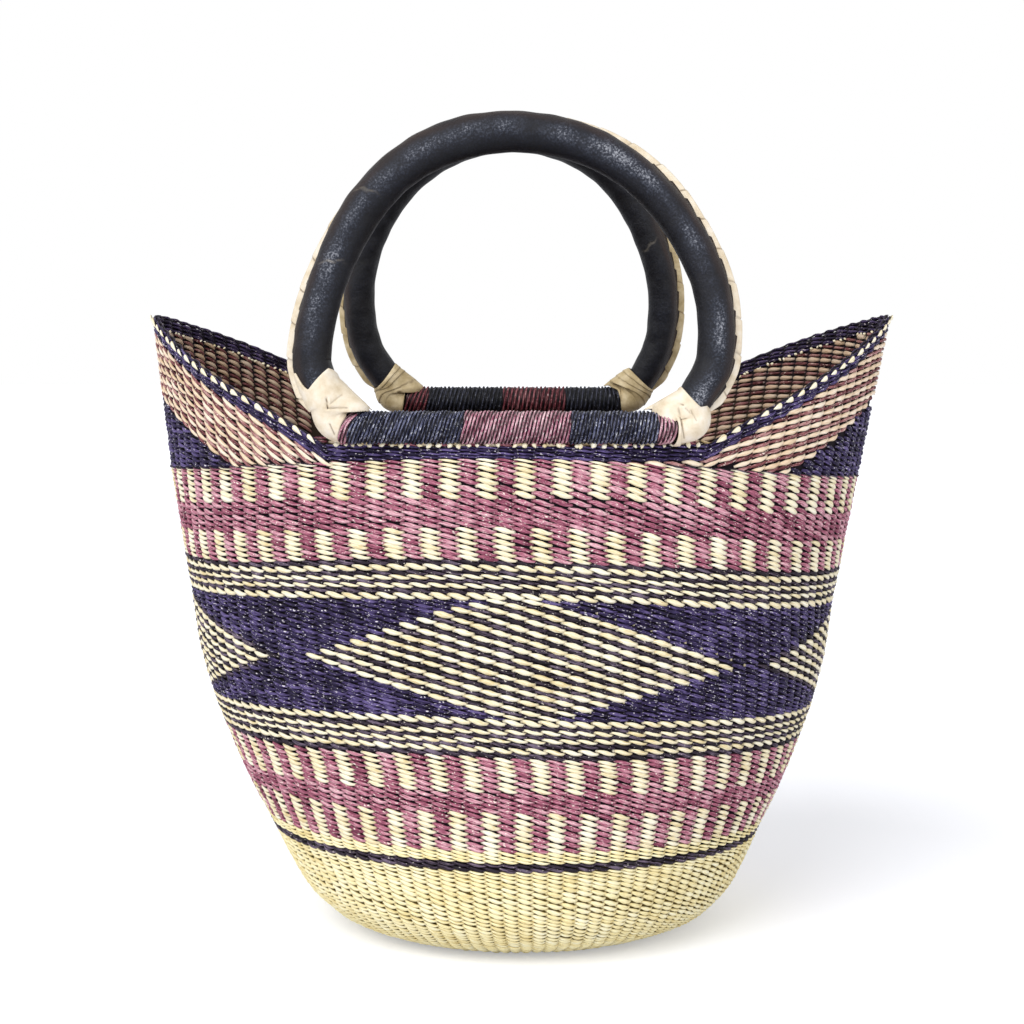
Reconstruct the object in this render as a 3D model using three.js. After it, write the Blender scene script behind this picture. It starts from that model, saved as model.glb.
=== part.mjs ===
// A straw shopping basket with a boat-shaped mouth and two leather-covered ring handles.
// Millimetres, +Z up. The origin is the middle of the flat base, the front is -Y and the raised ends are at
// +X and -X.
import * as THREE from "three";

// Woven wall
const wallThickness = 5; // stakes with a strand on each side
const baseFlatRadius = 79; // what stands on the table
const baseTurnRadius = 112; // where the base turns up into the wall
const baseTurnHeight = 9.5;
const bellyHalfDepth = 141; // widest half depth, front to back
const courseHalfLength = 201.4; // half length along the top of the full courses
const mouthHalfDepth = 125;
const rimHeight = 289; // top edge along the handle bars
const rimBandHeight = 6.9; // purple courses that finish the edge, pressed together under a handle
const rimEndBandHeight = 9; // and where they climb to an end
const tipReach = 215.2; // from the middle to a raised end
const tipHeight = 355.3;
const endDrop = 17.4; // how much lower the full courses lie at the ends than in the middle
const sway = 5.6; // hand-made lean of the belly to the left
const tilt = 4.5; // and of its courses down to the right
const seamGap = 0.3; // between neighbouring sets of courses
const beadHeight = 1.8; // stake ends folded over the edge
const beadSlack = 8; // bare edge beyond a handle's corners

// Handles
const barRadius = 6.6; // straight core that turns inside its straw binding
const runningGap = 0.5; // between the core and the binding
const strawThickness = 1.9;
const strawGap = 0.7; // between one turn of straw and the next
const strawPitch = 4.7; // one turn is a pair of straws
const seatGap = 0.3; // between pieces that rest on each other
const archRadius = 9.9; // grass core inside the leather
const leatherThickness = 1.4;
const cuffThickness = 1.3;
const cuffLap = 15; // how far a cuff reaches up over the cover
const weltWidth = 4.2;
const weltThickness = 2.2;
const cornerLeg = 8; // length of bar taken up by each rounded corner
const coreRise = 22; // length over which the core swells from bar to arch
const wrapEndGap = 0.5;

const front = {
  side: -1,
  shift: -4.9, // the ring stands a little left of the middle
  barHalfSpan: 96.5,
  archHalfWidth: 108.6,
  archHalfHeight: 108.3,
  leftPull: 6.6, // the hand-bent shoulders stand in from the ellipse
  rightPull: 3,
  levelMargin: 4, // level edge beyond the ring's corners, before it climbs
  risePowerShare: 0.9,
  tipRiseShare: 0.2, // of the climb, left for the last steep part
  wraps: ["pink", "navy", "pink", "navy", "pink"],
  wrapEdgeShares: [0, 0.045, 0.35, 0.675, 0.96, 1],
};
const back = {
  side: 1,
  shift: -5.5,
  barHalfSpan: 76,
  archHalfWidth: 96.3,
  archHalfHeight: 103.8,
  leftPull: 0.4,
  rightPull: 3.6,
  levelMargin: 9,
  risePowerShare: 0.72,
  tipRiseShare: 0,
  wraps: ["maroon", "navy", "maroon", "navy"],
  wrapEdgeShares: [0, 0.102, 0.451, 0.744, 1],
};
const leanShare = 6 / 360; // of a full turn, both handles towards the middle

// Shape of the wall at twelve courses, from the base's turn to the top of the full courses
const heightShares = [0.0337, 0.093, 0.2086, 0.232, 0.3235, 0.43, 0.5025, 0.616, 0.7335, 0.7985, 0.896, 1];
const dropShares = [0, 0.12, 0.53, 0.61, 0.64, 0.65, 0.69, 0.705, 0.775, 0.845, 0.935, 1];
const lengthShares = [0.556, 0.632, 0.71, 0.722, 0.7805, 0.8435, 0.8765, 0.914, 0.9365, 0.953, 0.975, 1];
const depthShares = [0.794, 0.911, 0.993, 1, 1, 0.989, 0.982, 0.968, 0.95, 0.94, 0.922, 0.901];
const boatShares = [0, 0, 0, 0, 0.1, 0.16, 0.23, 0.36, 0.52, 0.62, 0.8, 1];
const baseEdgeShares = [
  [0.39, 0.2],
  [0.72, 0.52],
]; // the rounded edge of the base, as shares of the way out and up to the turn
const roundPowerShare = 2; // of an ellipse
const flatPowerShare = 3; // of the mouth's flattened faces
const pointPowerShare = 1.42; // of the mouth's narrow ends
const tipPowerShare = 1.3; // of the ends at the edge itself
const swayPowerShare = 0.7;
const steepPowerShare = 4; // of the last part of the edge's climb
const straightShare = 0.22; // of a ring's height, below its bent shoulders

// Counts
const stakePairs = 50;
const outlineSteps = 200;
const tubeSides = 10;
const archSteps = 28;
const cornerSteps = 3;
const barSteps = 2;
const turnSteps = 10;

const topLine = heightShares.length - 1;
const courseTop = rimHeight - rimBandHeight;
const wrapRadius = barRadius + runningGap + strawThickness;
const barHeight = rimHeight + seatGap + wrapRadius;
const barY = mouthHalfDepth - wallThickness / 2;
const coverInner = archRadius + seatGap;
const coverRadius = coverInner + leatherThickness;

const paints = {
  natural: [0xeedf9f, 0.75],
  purple: [0x3c2f63, 0.7],
  check: [0xc98b86, 0.75],
  stripe: [0x8f8374, 0.75],
  diamond: [0x5a4c73, 0.72],
  gusset: [0xb98a80, 0.75],
  navy: [0x262c5e, 0.65],
  pink: [0xb8637a, 0.65],
  maroon: [0x7d3340, 0.65],
  grass: [0xb59a62, 0.9],
  black: [0x23242c, 0.45],
  cream: [0xecdcc0, 0.6],
};

const basket = new THREE.Group();

function addMesh(parent, name, geometry, paint) {
  const [color, roughness] = paints[paint];
  const mesh = new THREE.Mesh(
    geometry,
    new THREE.MeshStandardMaterial({ color, roughness, metalness: 0 }),
  );
  mesh.name = name;
  parent.add(mesh);
}

// Joins rows of points into one closed surface: each row is a closed loop, and the rows follow each other,
// either back to the first one or with a lid on both ends. Points that coincide are one, and faces look out.
function skin(rows, ring) {
  const points = [];
  const known = new Map();
  const ids = rows.map((row) =>
    row.map((p) => {
      const key = p.toArray().map((v) => Math.round(v * 1e4)).join(" ");
      if (!known.has(key)) {
        known.set(key, points.length);
        points.push(p);
      }
      return known.get(key);
    }),
  );
  const faces = [];
  const addFace = (a, b, c) => {
    if (a !== b && b !== c && c !== a) faces.push([a, b, c]);
  };
  const count = rows[0].length;
  const last = ring ? rows.length : rows.length - 1;
  for (let i = 0; i < last; i++) {
    const low = ids[i];
    const high = ids[(i + 1) % rows.length];
    for (let j = 0; j < count; j++) {
      const k = (j + 1) % count;
      addFace(low[j], low[k], high[k]);
      addFace(low[j], high[k], high[j]);
    }
  }
  if (!ring)
    for (let j = 1; j < count - 1; j++) {
      addFace(ids[0][0], ids[0][j + 1], ids[0][j]);
      addFace(ids[last][0], ids[last][j], ids[last][j + 1]);
    }
  const cross = new THREE.Vector3();
  const volume = faces.reduce(
    (sum, [a, b, c]) => sum + cross.crossVectors(points[b], points[c]).dot(points[a]),
    0,
  );
  const geometry = new THREE.BufferGeometry().setFromPoints(points);
  geometry.setIndex(faces.flatMap(([a, b, c]) => (volume < 0 ? [a, c, b] : [a, b, c])));
  geometry.computeVertexNormals();
  return geometry;
}

// Smooth curve through a table of shares, read at a course between two of its entries.
function along(shares, line) {
  const i = Math.min(Math.floor(line), shares.length - 2);
  const f = line - i;
  const at = (k) => shares[Math.max(0, Math.min(shares.length - 1, k))];
  const [a, b, c, d] = [at(i - 1), at(i), at(i + 1), at(i + 2)];
  return b + (f / 2) * (c - a + f * (2 * a - 5 * b + 4 * c - d + f * (3 * (b - c) + d - a)));
}

// One course: half length and half depth, its heights at the face and at the end, and how boat-like it is.
function courseRing(line) {
  const boat = along(boatShares, line);
  const faceHeight = courseTop * along(heightShares, line);
  return {
    halfLength: courseHalfLength * along(lengthShares, line),
    halfDepth: bellyHalfDepth * along(depthShares, line),
    faceHeight,
    level: faceHeight,
    endHeight: faceHeight - endDrop * along(dropShares, line),
    flatPower: roundPowerShare + (flatPowerShare - roundPowerShare) * boat,
    pointPower: roundPowerShare - (roundPowerShare - pointPowerShare) * boat,
  };
}

const rimRing = {
  halfLength: tipReach,
  halfDepth: mouthHalfDepth,
  faceHeight: rimHeight,
  endHeight: tipHeight,
  flatPower: flatPowerShare,
  pointPower: tipPowerShare,
};

// The same course on the inside of the wall, moved square to the wall's slope at its face and at its end.
function innerRing(ring, lower, upper) {
  const faceOut = upper.halfDepth - lower.halfDepth;
  const faceUp = upper.faceHeight - lower.faceHeight;
  const endOut = upper.halfLength - lower.halfLength;
  const endUp = upper.endHeight - lower.endHeight;
  const face = wallThickness / Math.hypot(faceOut, faceUp);
  const end = wallThickness / Math.hypot(endOut, endUp);
  return {
    ...ring,
    halfLength: ring.halfLength - end * endUp,
    halfDepth: ring.halfDepth - face * faceUp,
    faceHeight: ring.faceHeight + face * faceOut,
    endHeight: ring.endHeight + end * endOut,
  };
}

// Plan of a ring: equal steps of length round it, from the left end over the front, right end and back.
function planOf(ring) {
  const curve = [];
  for (let i = 0; i <= outlineSteps; i++) {
    const c = i < outlineSteps ? Math.cos((Math.PI * i) / outlineSteps / 2) : 0;
    const out = Math.pow(1 - Math.pow(c, ring.flatPower), 1 / ring.pointPower);
    curve.push(new THREE.Vector2(ring.halfLength * c, ring.halfDepth * out));
  }
  const reach = [0];
  curve.slice(1).forEach((p, i) => reach.push(reach[i] + p.distanceTo(curve[i])));
  return (turn) => {
    const quarter = Math.floor(turn * 4) % 4;
    const share = turn * 4 - Math.floor(turn * 4);
    const goal = (quarter % 2 ? 1 - share : share) * reach[outlineSteps];
    let i = 0;
    while (i < outlineSteps - 1 && reach[i + 1] < goal) i++;
    const p = curve[i].clone().lerp(curve[i + 1], (goal - reach[i]) / (reach[i + 1] - reach[i]));
    return [quarter === 0 || quarter === 3 ? -p.x : p.x, quarter < 2 ? -p.y : p.y];
  };
}

// The hand-made lean of the wall, none at the base or at the tips.
function leaned(x, y, z, level, halfLength) {
  const climb = Math.max(0, level - baseTurnHeight) / (tipHeight - baseTurnHeight);
  const swing = Math.sin(Math.PI * Math.min(1, climb));
  return new THREE.Vector3(
    x - sway * Math.pow(swing, swayPowerShare),
    y,
    z - (tilt * swing * x) / halfLength,
  );
}

function coursePoints(ring, turns) {
  const plan = planOf(ring);
  return turns.map((turn) => {
    const [x, y] = plan(turn);
    const out = (x / ring.halfLength) ** 2;
    const z = ring.faceHeight + (ring.endHeight - ring.faceHeight) * out;
    return leaned(x, y, z, ring.level, ring.halfLength);
  });
}

// The edge is level along a handle and then climbs to the tip. It leans with the courses below, but not
// at its tips.
function rimPoints(ring, turns) {
  const plan = planOf(ring);
  return turns.map((turn) => {
    const [x, y] = plan(turn);
    const handle = y < 0 ? front : back;
    const level = handle.barHalfSpan + Math.abs(handle.shift) + handle.levelMargin;
    const climb = Math.min(1, Math.max(0, Math.abs(x) - level) / (tipReach - level));
    const even = (1 - handle.tipRiseShare) * Math.pow(climb, handle.risePowerShare);
    const rise = even + handle.tipRiseShare * Math.pow(climb, steepPowerShare);
    const lean = leaned(0, y, 0, courseTop, tipReach).x * (1 - (x / tipReach) ** 2);
    return new THREE.Vector3(x + lean, y, rimHeight + (tipHeight - rimHeight) * rise);
  });
}

// Outer and inner points of the wall above the full courses: two rows, and any level is a blend of them.
const pairTurns = Array.from({ length: stakePairs }, (_, i) => i / stakePairs);
const betweenTurns = pairTurns.map((turn) => turn + 1 / (2 * stakePairs));
const topRing = courseRing(topLine);
const underTop = courseRing(topLine - 1);
const innerRim = {
  ...rimRing,
  halfLength: tipReach - wallThickness,
  halfDepth: mouthHalfDepth - wallThickness,
};
const edgeRows = [
  [coursePoints(topRing, pairTurns), rimPoints(rimRing, pairTurns)],
  [coursePoints(innerRing(topRing, underTop, topRing), pairTurns), rimPoints(innerRim, pairTurns)],
];
const betweenHeads = [rimPoints(rimRing, betweenTurns), rimPoints(innerRim, betweenTurns)];
// Height of the end gusset at each stake pair, where the edge climbs away from the full courses.
const edgeHeights = pairTurns.map((_, i) => edgeRows[0][1][i].z - edgeRows[0][0][i].z);
const gussetHeights = edgeHeights.map((high) => Math.max(0, high - rimEndBandHeight - 2 * seamGap));
const rimFoot = (i) => gussetHeights[i] + 2 * seamGap;

function edgePoint(side, i, height) {
  const [low, high] = edgeRows[side].map((row) => row[i]);
  return low.clone().lerp(high, height / edgeHeights[i]);
}

// A set of courses between two lines of the tables.
function addCourses(name, from, to, levels, paint) {
  const step = courseRing(from + 1).faceHeight - courseRing(from).faceHeight;
  const first = from + seamGap / step;
  const outer = [];
  const inner = [];
  for (let i = 0; i <= levels; i++) {
    const line = first + ((to - first) * i) / levels;
    const ring = courseRing(line);
    const lower = courseRing(Math.max(0, line - 0.5));
    const upper = courseRing(Math.min(topLine, line + 0.5));
    outer.push(coursePoints(ring, pairTurns));
    inner.unshift(coursePoints(innerRing(ring, lower, upper), pairTurns));
  }
  addMesh(basket, name, skin([...outer, ...inner], true), paint);
}

// The base: a flat disc, and round it a rim that turns up into the wall.
function addBase() {
  const out = baseTurnRadius - baseFlatRadius;
  const edge = baseEdgeShares.map(
    ([o, u]) => new THREE.Vector2(baseFlatRadius + out * o, baseTurnHeight * u),
  );
  const turn = new THREE.Vector2(baseTurnRadius, baseTurnHeight);
  const lowest = courseRing(0);
  const inside = innerRing(lowest, lowest, courseRing(1 / 2));
  const top = new THREE.Vector2(inside.halfDepth, inside.faceHeight);
  const raised = edge.map((p) => new THREE.Vector2(p.x - wallThickness / 2, p.y + wallThickness)).reverse();
  const foot = new THREE.Vector2(baseFlatRadius, 0);
  const head = new THREE.Vector2(baseFlatRadius - wallThickness / 2, wallThickness);
  const seam = new THREE.Vector2(seamGap, 0);
  const middle = new THREE.Vector2(0, wallThickness);
  const disc = [new THREE.Vector2(0, 0), foot.clone().sub(seam), head.clone().sub(seam), middle];
  const rim = [foot, ...edge, turn, top, ...raised, head, foot];
  for (const [name, profile] of [
    ["woven_base", disc],
    ["base_turn", rim],
  ]) {
    const solid = new THREE.LatheGeometry(profile, stakePairs, Math.PI / 2).rotateX(Math.PI / 2);
    addMesh(basket, name, solid, "natural");
  }
}

// A raised end: short courses between the full ones and the edge, running out to nothing along the faces.
// Its columns go from the back to the front, so its top is cut into triangles as the foot of the edge is.
function addGusset(name, centre, levels) {
  const onwards = centre ? -1 : 1;
  const quarter = Math.floor(stakePairs / 4);
  const columns = [];
  for (let k = -quarter; k <= quarter; k++) {
    const i = (centre + onwards * k + stakePairs) % stakePairs;
    const row = [];
    const climb = steps(seamGap, seamGap + gussetHeights[i], levels);
    climb.forEach((height) => row.push(edgePoint(0, i, height)));
    climb.reverse().forEach((height) => row.push(edgePoint(1, i, height)));
    columns.push(row);
  }
  const starts = columns.findIndex((row) => row[0].distanceTo(row[levels]) > 0);
  const ends = columns.findLastIndex((row) => row[0].distanceTo(row[levels]) > 0);
  addMesh(basket, name, skin(columns.slice(starts - 1, ends + 2), false), "gusset");
}

// The purple edge, with a row of folded stake ends as beads along its top, but not under the handles' bars.
function addRim() {
  const rows = [[], [], [], [], [], []];
  for (let i = 0; i < stakePairs; i++) {
    const next = (i + 1) % stakePairs;
    const foot = [0, 1].map((side) => edgePoint(side, i, rimFoot(i)));
    const nextFoot = [0, 1].map((side) => edgePoint(side, next, rimFoot(next)));
    const head = [0, 1].map((side) => edgeRows[side][1][i]);
    const middle = betweenHeads.map((row) => row[i]);
    const handle = middle[0].y < 0 ? front : back;
    const bound = Math.abs(middle[0].x) < handle.barHalfSpan + Math.abs(handle.shift) + beadSlack;
    const crown = middle[0].clone().lerp(middle[1], 1 / 2);
    crown.z += bound ? 0 : beadHeight;
    rows[0].push(foot[0], foot[0].clone().lerp(nextFoot[0], 1 / 2));
    rows[1].push(head[0], middle[0]);
    rows[2].push(head[0].clone().lerp(head[1], 1 / 4), crown.clone().lerp(middle[0], 1 / 4));
    rows[3].push(head[0].clone().lerp(head[1], 3 / 4), crown.clone().lerp(middle[1], 1 / 4));
    rows[4].push(head[1], middle[1]);
    rows[5].push(foot[1], foot[1].clone().lerp(nextFoot[1], 1 / 2));
  }
  addMesh(basket, "rim_courses", skin(rows, true), "purple");
}

// Outline of a handle in its own plane, starting at the middle of the bar and going right: x is along the
// bar and z above its axis. The arch is part of an ellipse, and a quadratic curve rounds each corner. Above its
// straight share each side is pulled in along half a sine wave, by nothing at the top.
function handlePath(handle) {
  const { barHalfSpan: span, archHalfWidth: wide, archHalfHeight: high } = handle;
  const start = Math.acos(span / wide);
  const rise = high * Math.sin(start);
  const arch = (angle) => new THREE.Vector2(wide * Math.cos(angle), rise + high * Math.sin(angle));
  const lift = cornerLeg / Math.hypot(wide * Math.sin(start), high * Math.cos(start));
  const foot = arch(lift - start);
  const corner = new THREE.QuadraticBezierCurve(
    new THREE.Vector2(span - cornerLeg, 0),
    new THREE.Vector2(span, 0),
    foot,
  );
  const half = [new THREE.Vector2(0, 0), ...corner.getPoints(outlineSteps)];
  for (let i = 1; i <= outlineSteps; i++)
    half.push(arch(lift - start + ((Math.PI / 2 + start - lift) * i) / outlineSteps));
  const mirrored = half.slice(0, -1).reverse().map((p) => new THREE.Vector2(-p.x, p.y));
  const points = [...half, ...mirrored];
  for (const p of points) {
    const bent = Math.max(0, p.y / (rise + high) - straightShare) / (1 - straightShare);
    p.x += (p.x < 0 ? handle.leftPull : -handle.rightPull) * Math.sin(Math.PI * bent);
  }
  const reach = [0];
  points.slice(1).forEach((p, i) => reach.push(reach[i] + p.distanceTo(points[i])));
  const barEnd = span - cornerLeg;
  return { points, reach, length: reach[reach.length - 1], barEnd, cornerEnd: barEnd + corner.getLength() };
}

// Position on a handle's outline and the direction square to it, away from the middle of the ring.
function onPath(path, at) {
  let i = 0;
  while (i < path.reach.length - 2 && path.reach[i + 1] < at) i++;
  const [a, b] = [path.points[i], path.points[i + 1]];
  const p = a.clone().lerp(b, (at - path.reach[i]) / (path.reach[i + 1] - path.reach[i]));
  const before = path.points[Math.max(0, i - 1)];
  const after = path.points[Math.min(path.points.length - 1, i + 2)];
  const run = after.clone().sub(before).normalize();
  return { p, out: new THREE.Vector2(run.y, -run.x) };
}

// The seam faces outwards and to the back, most of all at the top, where the tube hides its welt from the
// front. Every tube on the ring has a flat side there.
const seamStops = [0, 0.25, 0.36, 0.455, 0.5, 0.645, 0.74, 1]; // shares of the way round
const seamDegrees = [20, 14, 15, 42, 48, 45, 26, 20];

function seamTurn(path, at) {
  const share = at / path.length;
  const i = Math.max(1, seamStops.findIndex((stop) => stop >= share));
  const [a, b] = [seamStops[i - 1], seamStops[i]];
  const degrees = THREE.MathUtils.lerp(seamDegrees[i - 1], seamDegrees[i], (share - a) / (b - a));
  return degrees / 360;
}

function tubeRing(path, at, radius) {
  const { p, out } = onPath(path, at);
  const seam = seamTurn(path, at);
  return Array.from({ length: tubeSides }, (_, i) => {
    const angle = 2 * Math.PI * (seam + (i + 0.5) / tubeSides);
    const far = radius * Math.cos(angle);
    return new THREE.Vector3(p.x + out.x * far, radius * Math.sin(angle), p.y + out.y * far);
  });
}

function steps(from, to, count) {
  return Array.from({ length: count + 1 }, (_, i) => from + ((to - from) * i) / count);
}

// The core is as thick as the bar along the straight, and swells to the arch's thickness past the corner.
function coreRadius(path, at) {
  const past = Math.min(at, path.length - at) - path.barEnd;
  const share = Math.max(0, Math.min(1, past / coreRise));
  return barRadius + (archRadius - barRadius) * share * share * (3 - 2 * share);
}

function addHandle(word, handle) {
  const path = handlePath(handle);
  const holder = new THREE.Group();
  holder.position.set(handle.shift, handle.side * barY, barHeight);
  holder.rotation.x = handle.side * leanShare * 2 * Math.PI;
  basket.add(holder);

  const coverStart = path.barEnd + coreRise;
  const lapEnd = coverStart + cuffLap;
  const mirror = (at) => path.length - at;
  const coreStops = [
    ...steps(0, path.barEnd, barSteps),
    ...steps(path.barEnd, path.cornerEnd, cornerSteps).slice(1),
    ...steps(path.cornerEnd, coverStart, cornerSteps).slice(1),
    ...steps(coverStart, mirror(coverStart), archSteps).slice(1),
    ...steps(mirror(coverStart), mirror(path.cornerEnd), cornerSteps).slice(1),
    ...steps(mirror(path.cornerEnd), mirror(path.barEnd), cornerSteps).slice(1),
    ...steps(mirror(path.barEnd), path.length, barSteps).slice(1, -1),
  ];
  const core = coreStops.map((at) => tubeRing(path, at, coreRadius(path, at)));
  addMesh(holder, word + "_handle_core", skin(core, true), "grass");

  const coverStops = steps(coverStart, mirror(coverStart), archSteps);
  const cover = [
    ...coverStops.map((at) => tubeRing(path, at, coverRadius)),
    ...coverStops.map((at) => tubeRing(path, at, coverInner)).reverse(),
  ];
  addMesh(holder, word + "_handle_cover", skin(cover, true), "black");

  // A leather strip along the seam, standing on the flat side of the cover.
  const footOut = coverRadius * Math.cos(Math.PI / tubeSides) + seatGap;
  const welt = steps(lapEnd + seatGap, mirror(lapEnd + seatGap), archSteps).map((at) => {
    const { p, out } = onPath(path, at);
    const seamAngle = 2 * Math.PI * seamTurn(path, at);
    const corners = [
      [footOut, -weltThickness / 2],
      [footOut + weltWidth, -weltThickness / 2],
      [footOut + weltWidth, weltThickness / 2],
      [footOut, weltThickness / 2],
    ];
    return corners.map(([far, beside]) => {
      const outwards = far * Math.cos(seamAngle) - beside * Math.sin(seamAngle);
      const backwards = far * Math.sin(seamAngle) + beside * Math.cos(seamAngle);
      return new THREE.Vector3(p.x + out.x * outwards, backwards, p.y + out.y * outwards);
    });
  });
  addMesh(holder, word + "_handle_welt", skin(welt, false), "cream");

  // Each cuff grips the core round the corner and laps over the end of the cover.
  const cuffStops = [
    ...steps(path.barEnd + wrapEndGap, path.cornerEnd, cornerSteps),
    ...steps(path.cornerEnd, coverStart - seatGap, 2).slice(1),
  ];
  const lapInner = coverRadius + seatGap;
  const cuffInner = (at) => coreRadius(path, at) + seatGap;
  const flare = (at) => (at - path.barEnd) / (coverStart - path.barEnd);
  const cuffOuter = (at) => wrapRadius + (lapInner + cuffThickness - wrapRadius) * Math.min(1, flare(at));
  for (const [hand, place] of [
    ["right", (at) => at],
    ["left", mirror],
  ]) {
    const ring = (at, radius) => tubeRing(path, place(at), radius);
    const rows = [
      ...cuffStops.map((at) => ring(at, cuffOuter(at))),
      ring(lapEnd, lapInner + cuffThickness),
      ring(lapEnd, lapInner),
      ring(coverStart - seatGap, lapInner),
      ...cuffStops.map((at) => ring(at, cuffInner(at))).reverse(),
    ];
    addMesh(holder, word + "_handle_cuff_" + hand, skin(rows, true), "cream");
  }
}

// Straw wound round a bar as one unbroken tube: a helix whose section is a flat straw, level with the bar.
function addWraps(word, handle) {
  const halfBar = handle.barHalfSpan - cornerLeg;
  handle.wraps.forEach((paint, n) => {
    const [fromShare, toShare] = handle.wrapEdgeShares.slice(n, n + 2);
    const from = halfBar * (2 * fromShare - 1) + wrapEndGap / 2;
    const to = halfBar * (2 * toShare - 1) - wrapEndGap / 2;
    const turns = Math.max(1, Math.floor((to - from) / strawPitch));
    const width = (to - from - turns * strawGap) / (turns + 1);
    const pitch = width + strawGap;
    const inner = barRadius + runningGap;
    const rows = steps(0, turns, turns * turnSteps).map((turn) => {
      const x = from + pitch * turn;
      const angle = 2 * Math.PI * turn;
      return [
        [x, inner],
        [x + width, inner],
        [x + width, wrapRadius],
        [x, wrapRadius],
      ].map(
        ([across, radius]) =>
          new THREE.Vector3(across, radius * Math.sin(angle) * handle.side, -radius * Math.cos(angle)),
      );
    });
    const gap = rows
      .slice(turnSteps)
      .reduce((least, row, i) => Math.min(least, row[0].distanceTo(rows[i][1])), Infinity);
    const name = [word, "wrap", n + 1, paint].join("_");
    console.log(name + ": " + turns + " turns, least gap to itself " + gap.toFixed(2) + " mm");
    const mesh = skin(rows, false).translate(handle.shift, handle.side * barY, barHeight);
    addMesh(basket, name, mesh, paint);
  });
}

addBase();
addCourses("natural_courses", 0, 2, 3, "natural");
addCourses("purple_pin_courses", 2, 3, 1, "purple");
addCourses("lower_check_courses", 3, 5, 2, "check");
addCourses("lower_stripe_courses", 5, 6, 1, "stripe");
addCourses("diamond_courses", 6, 8, 2, "diamond");
addCourses("upper_stripe_courses", 8, 9, 1, "stripe");
addCourses("upper_check_courses", 9, topLine, 2, "check");
addGusset("left_end_gusset", 0, 2);
addGusset("right_end_gusset", stakePairs / 2, 2);
addRim();
addWraps("front", front);
addWraps("back", back);
addHandle("front", front);
addHandle("back", back);

export default basket;
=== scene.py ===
import math

import bpy
import numpy as np
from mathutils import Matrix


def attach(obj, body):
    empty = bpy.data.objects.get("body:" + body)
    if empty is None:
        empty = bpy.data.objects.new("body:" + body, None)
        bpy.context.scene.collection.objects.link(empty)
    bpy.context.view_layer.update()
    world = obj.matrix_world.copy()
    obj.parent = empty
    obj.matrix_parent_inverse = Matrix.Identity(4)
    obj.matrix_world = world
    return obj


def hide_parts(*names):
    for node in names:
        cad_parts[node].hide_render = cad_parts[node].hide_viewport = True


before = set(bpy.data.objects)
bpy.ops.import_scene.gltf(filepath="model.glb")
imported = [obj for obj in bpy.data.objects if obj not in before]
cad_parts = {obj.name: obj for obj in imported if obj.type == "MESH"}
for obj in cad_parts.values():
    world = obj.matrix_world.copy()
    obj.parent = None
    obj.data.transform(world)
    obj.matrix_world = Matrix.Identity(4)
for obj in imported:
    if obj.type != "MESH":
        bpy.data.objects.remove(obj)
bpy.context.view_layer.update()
print("frame loaded:", len(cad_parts), "nodes")

# All shapes are worked out in millimetres and put into the meshes in metres.
mm = 0.001
fullTurn = 2 * math.pi


def srgb(hexCode):  # "#aabbcc" to linear RGBA, by the sRGB curve
    parts = np.array([int(hexCode[i:i + 2], 16) for i in (1, 3, 5)]) / 255
    linear = np.where(parts <= 0.04045, parts / 12.92, ((parts + 0.055) / 1.055) ** 2.4)
    return (*linear.tolist(), 1.0)


def smooth(x):  # 3x^2 - 2x^3 between 0 and 1
    x = np.clip(x, 0, 1)
    return x * x * (3 - 2 * x)


def bell(x, middle, width):  # exp(-((x - middle) / width)^2)
    return np.exp(-((x - middle) / width) ** 2)


def unit(v):  # each vector divided by its length
    return v / np.maximum(np.linalg.norm(v, axis=-1, keepdims=True), 1e-9)


def sectionAngles(sides):  # 2 pi k / sides
    return fullTurn * np.arange(sides) / sides


# Smooth noise along a closed line: a sum of sines whose heights fall as their frequency rises
def wave(share, seed, count, first):
    draw = np.random.default_rng(seed)
    turns = first + np.arange(count)
    phase = draw.uniform(0, fullTurn, count)
    height = draw.normal(0, 1, count) / np.sqrt(turns)
    return (height * np.sin(fullTurn * turns * share[..., None] + phase)).sum(-1) / np.abs(height).sum() * 1.6


# Smooth noise over two lengths in turns of their own: a sum of waves that run slantwise
def ripple(a, b, seed, count, span):
    draw = np.random.default_rng(seed)
    across = draw.integers(-span, span + 1, count)
    down = draw.integers(-span, span + 1, count)
    phase = draw.uniform(0, fullTurn, count)
    return np.sin(fullTurn * (a[..., None] * across + b[..., None] * down) + phase).sum(-1) / math.sqrt(count)


# Puts a mesh into the scene: points in millimetres, faces as arrays of point numbers, and a uv pair and
# attributes that are spread over the points
def addObject(name, points, faces, uv=None, **attributes):
    shape = points.shape[:-1]
    sizes = np.concatenate([np.full(len(f), f.shape[1]) for f in faces])
    corners = np.concatenate([f.ravel() for f in faces])
    mesh = bpy.data.meshes.new(name)
    mesh.vertices.add(points.size // 3)
    mesh.vertices.foreach_set("co", (points * mm).ravel())
    mesh.loops.add(len(corners))
    mesh.loops.foreach_set("vertex_index", corners.astype(np.int32))
    mesh.polygons.add(len(sizes))
    mesh.polygons.foreach_set("loop_start", (np.cumsum(sizes) - sizes).astype(np.int32))
    mesh.polygons.foreach_set("loop_total", sizes.astype(np.int32))
    mesh.polygons.foreach_set("use_smooth", np.full(len(sizes), True))
    mesh.update(calc_edges=True)
    if uv:
        layer = mesh.uv_layers.new(name="alongPiece")
        pairs = np.stack([np.broadcast_to(part, shape) for part in uv], -1).reshape(-1, 2)
        layer.data.foreach_set("uv", pairs[corners].astype(np.float32).ravel())
    for key, values in attributes.items():
        made = mesh.attributes.new(key, "FLOAT", "POINT")
        made.data.foreach_set("value", np.broadcast_to(values, shape).astype(np.float32).ravel())
    mesh.validate(clean_customdata=False)
    obj = bpy.data.objects.new(name, mesh)
    bpy.context.scene.collection.objects.link(obj)
    return obj


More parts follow.
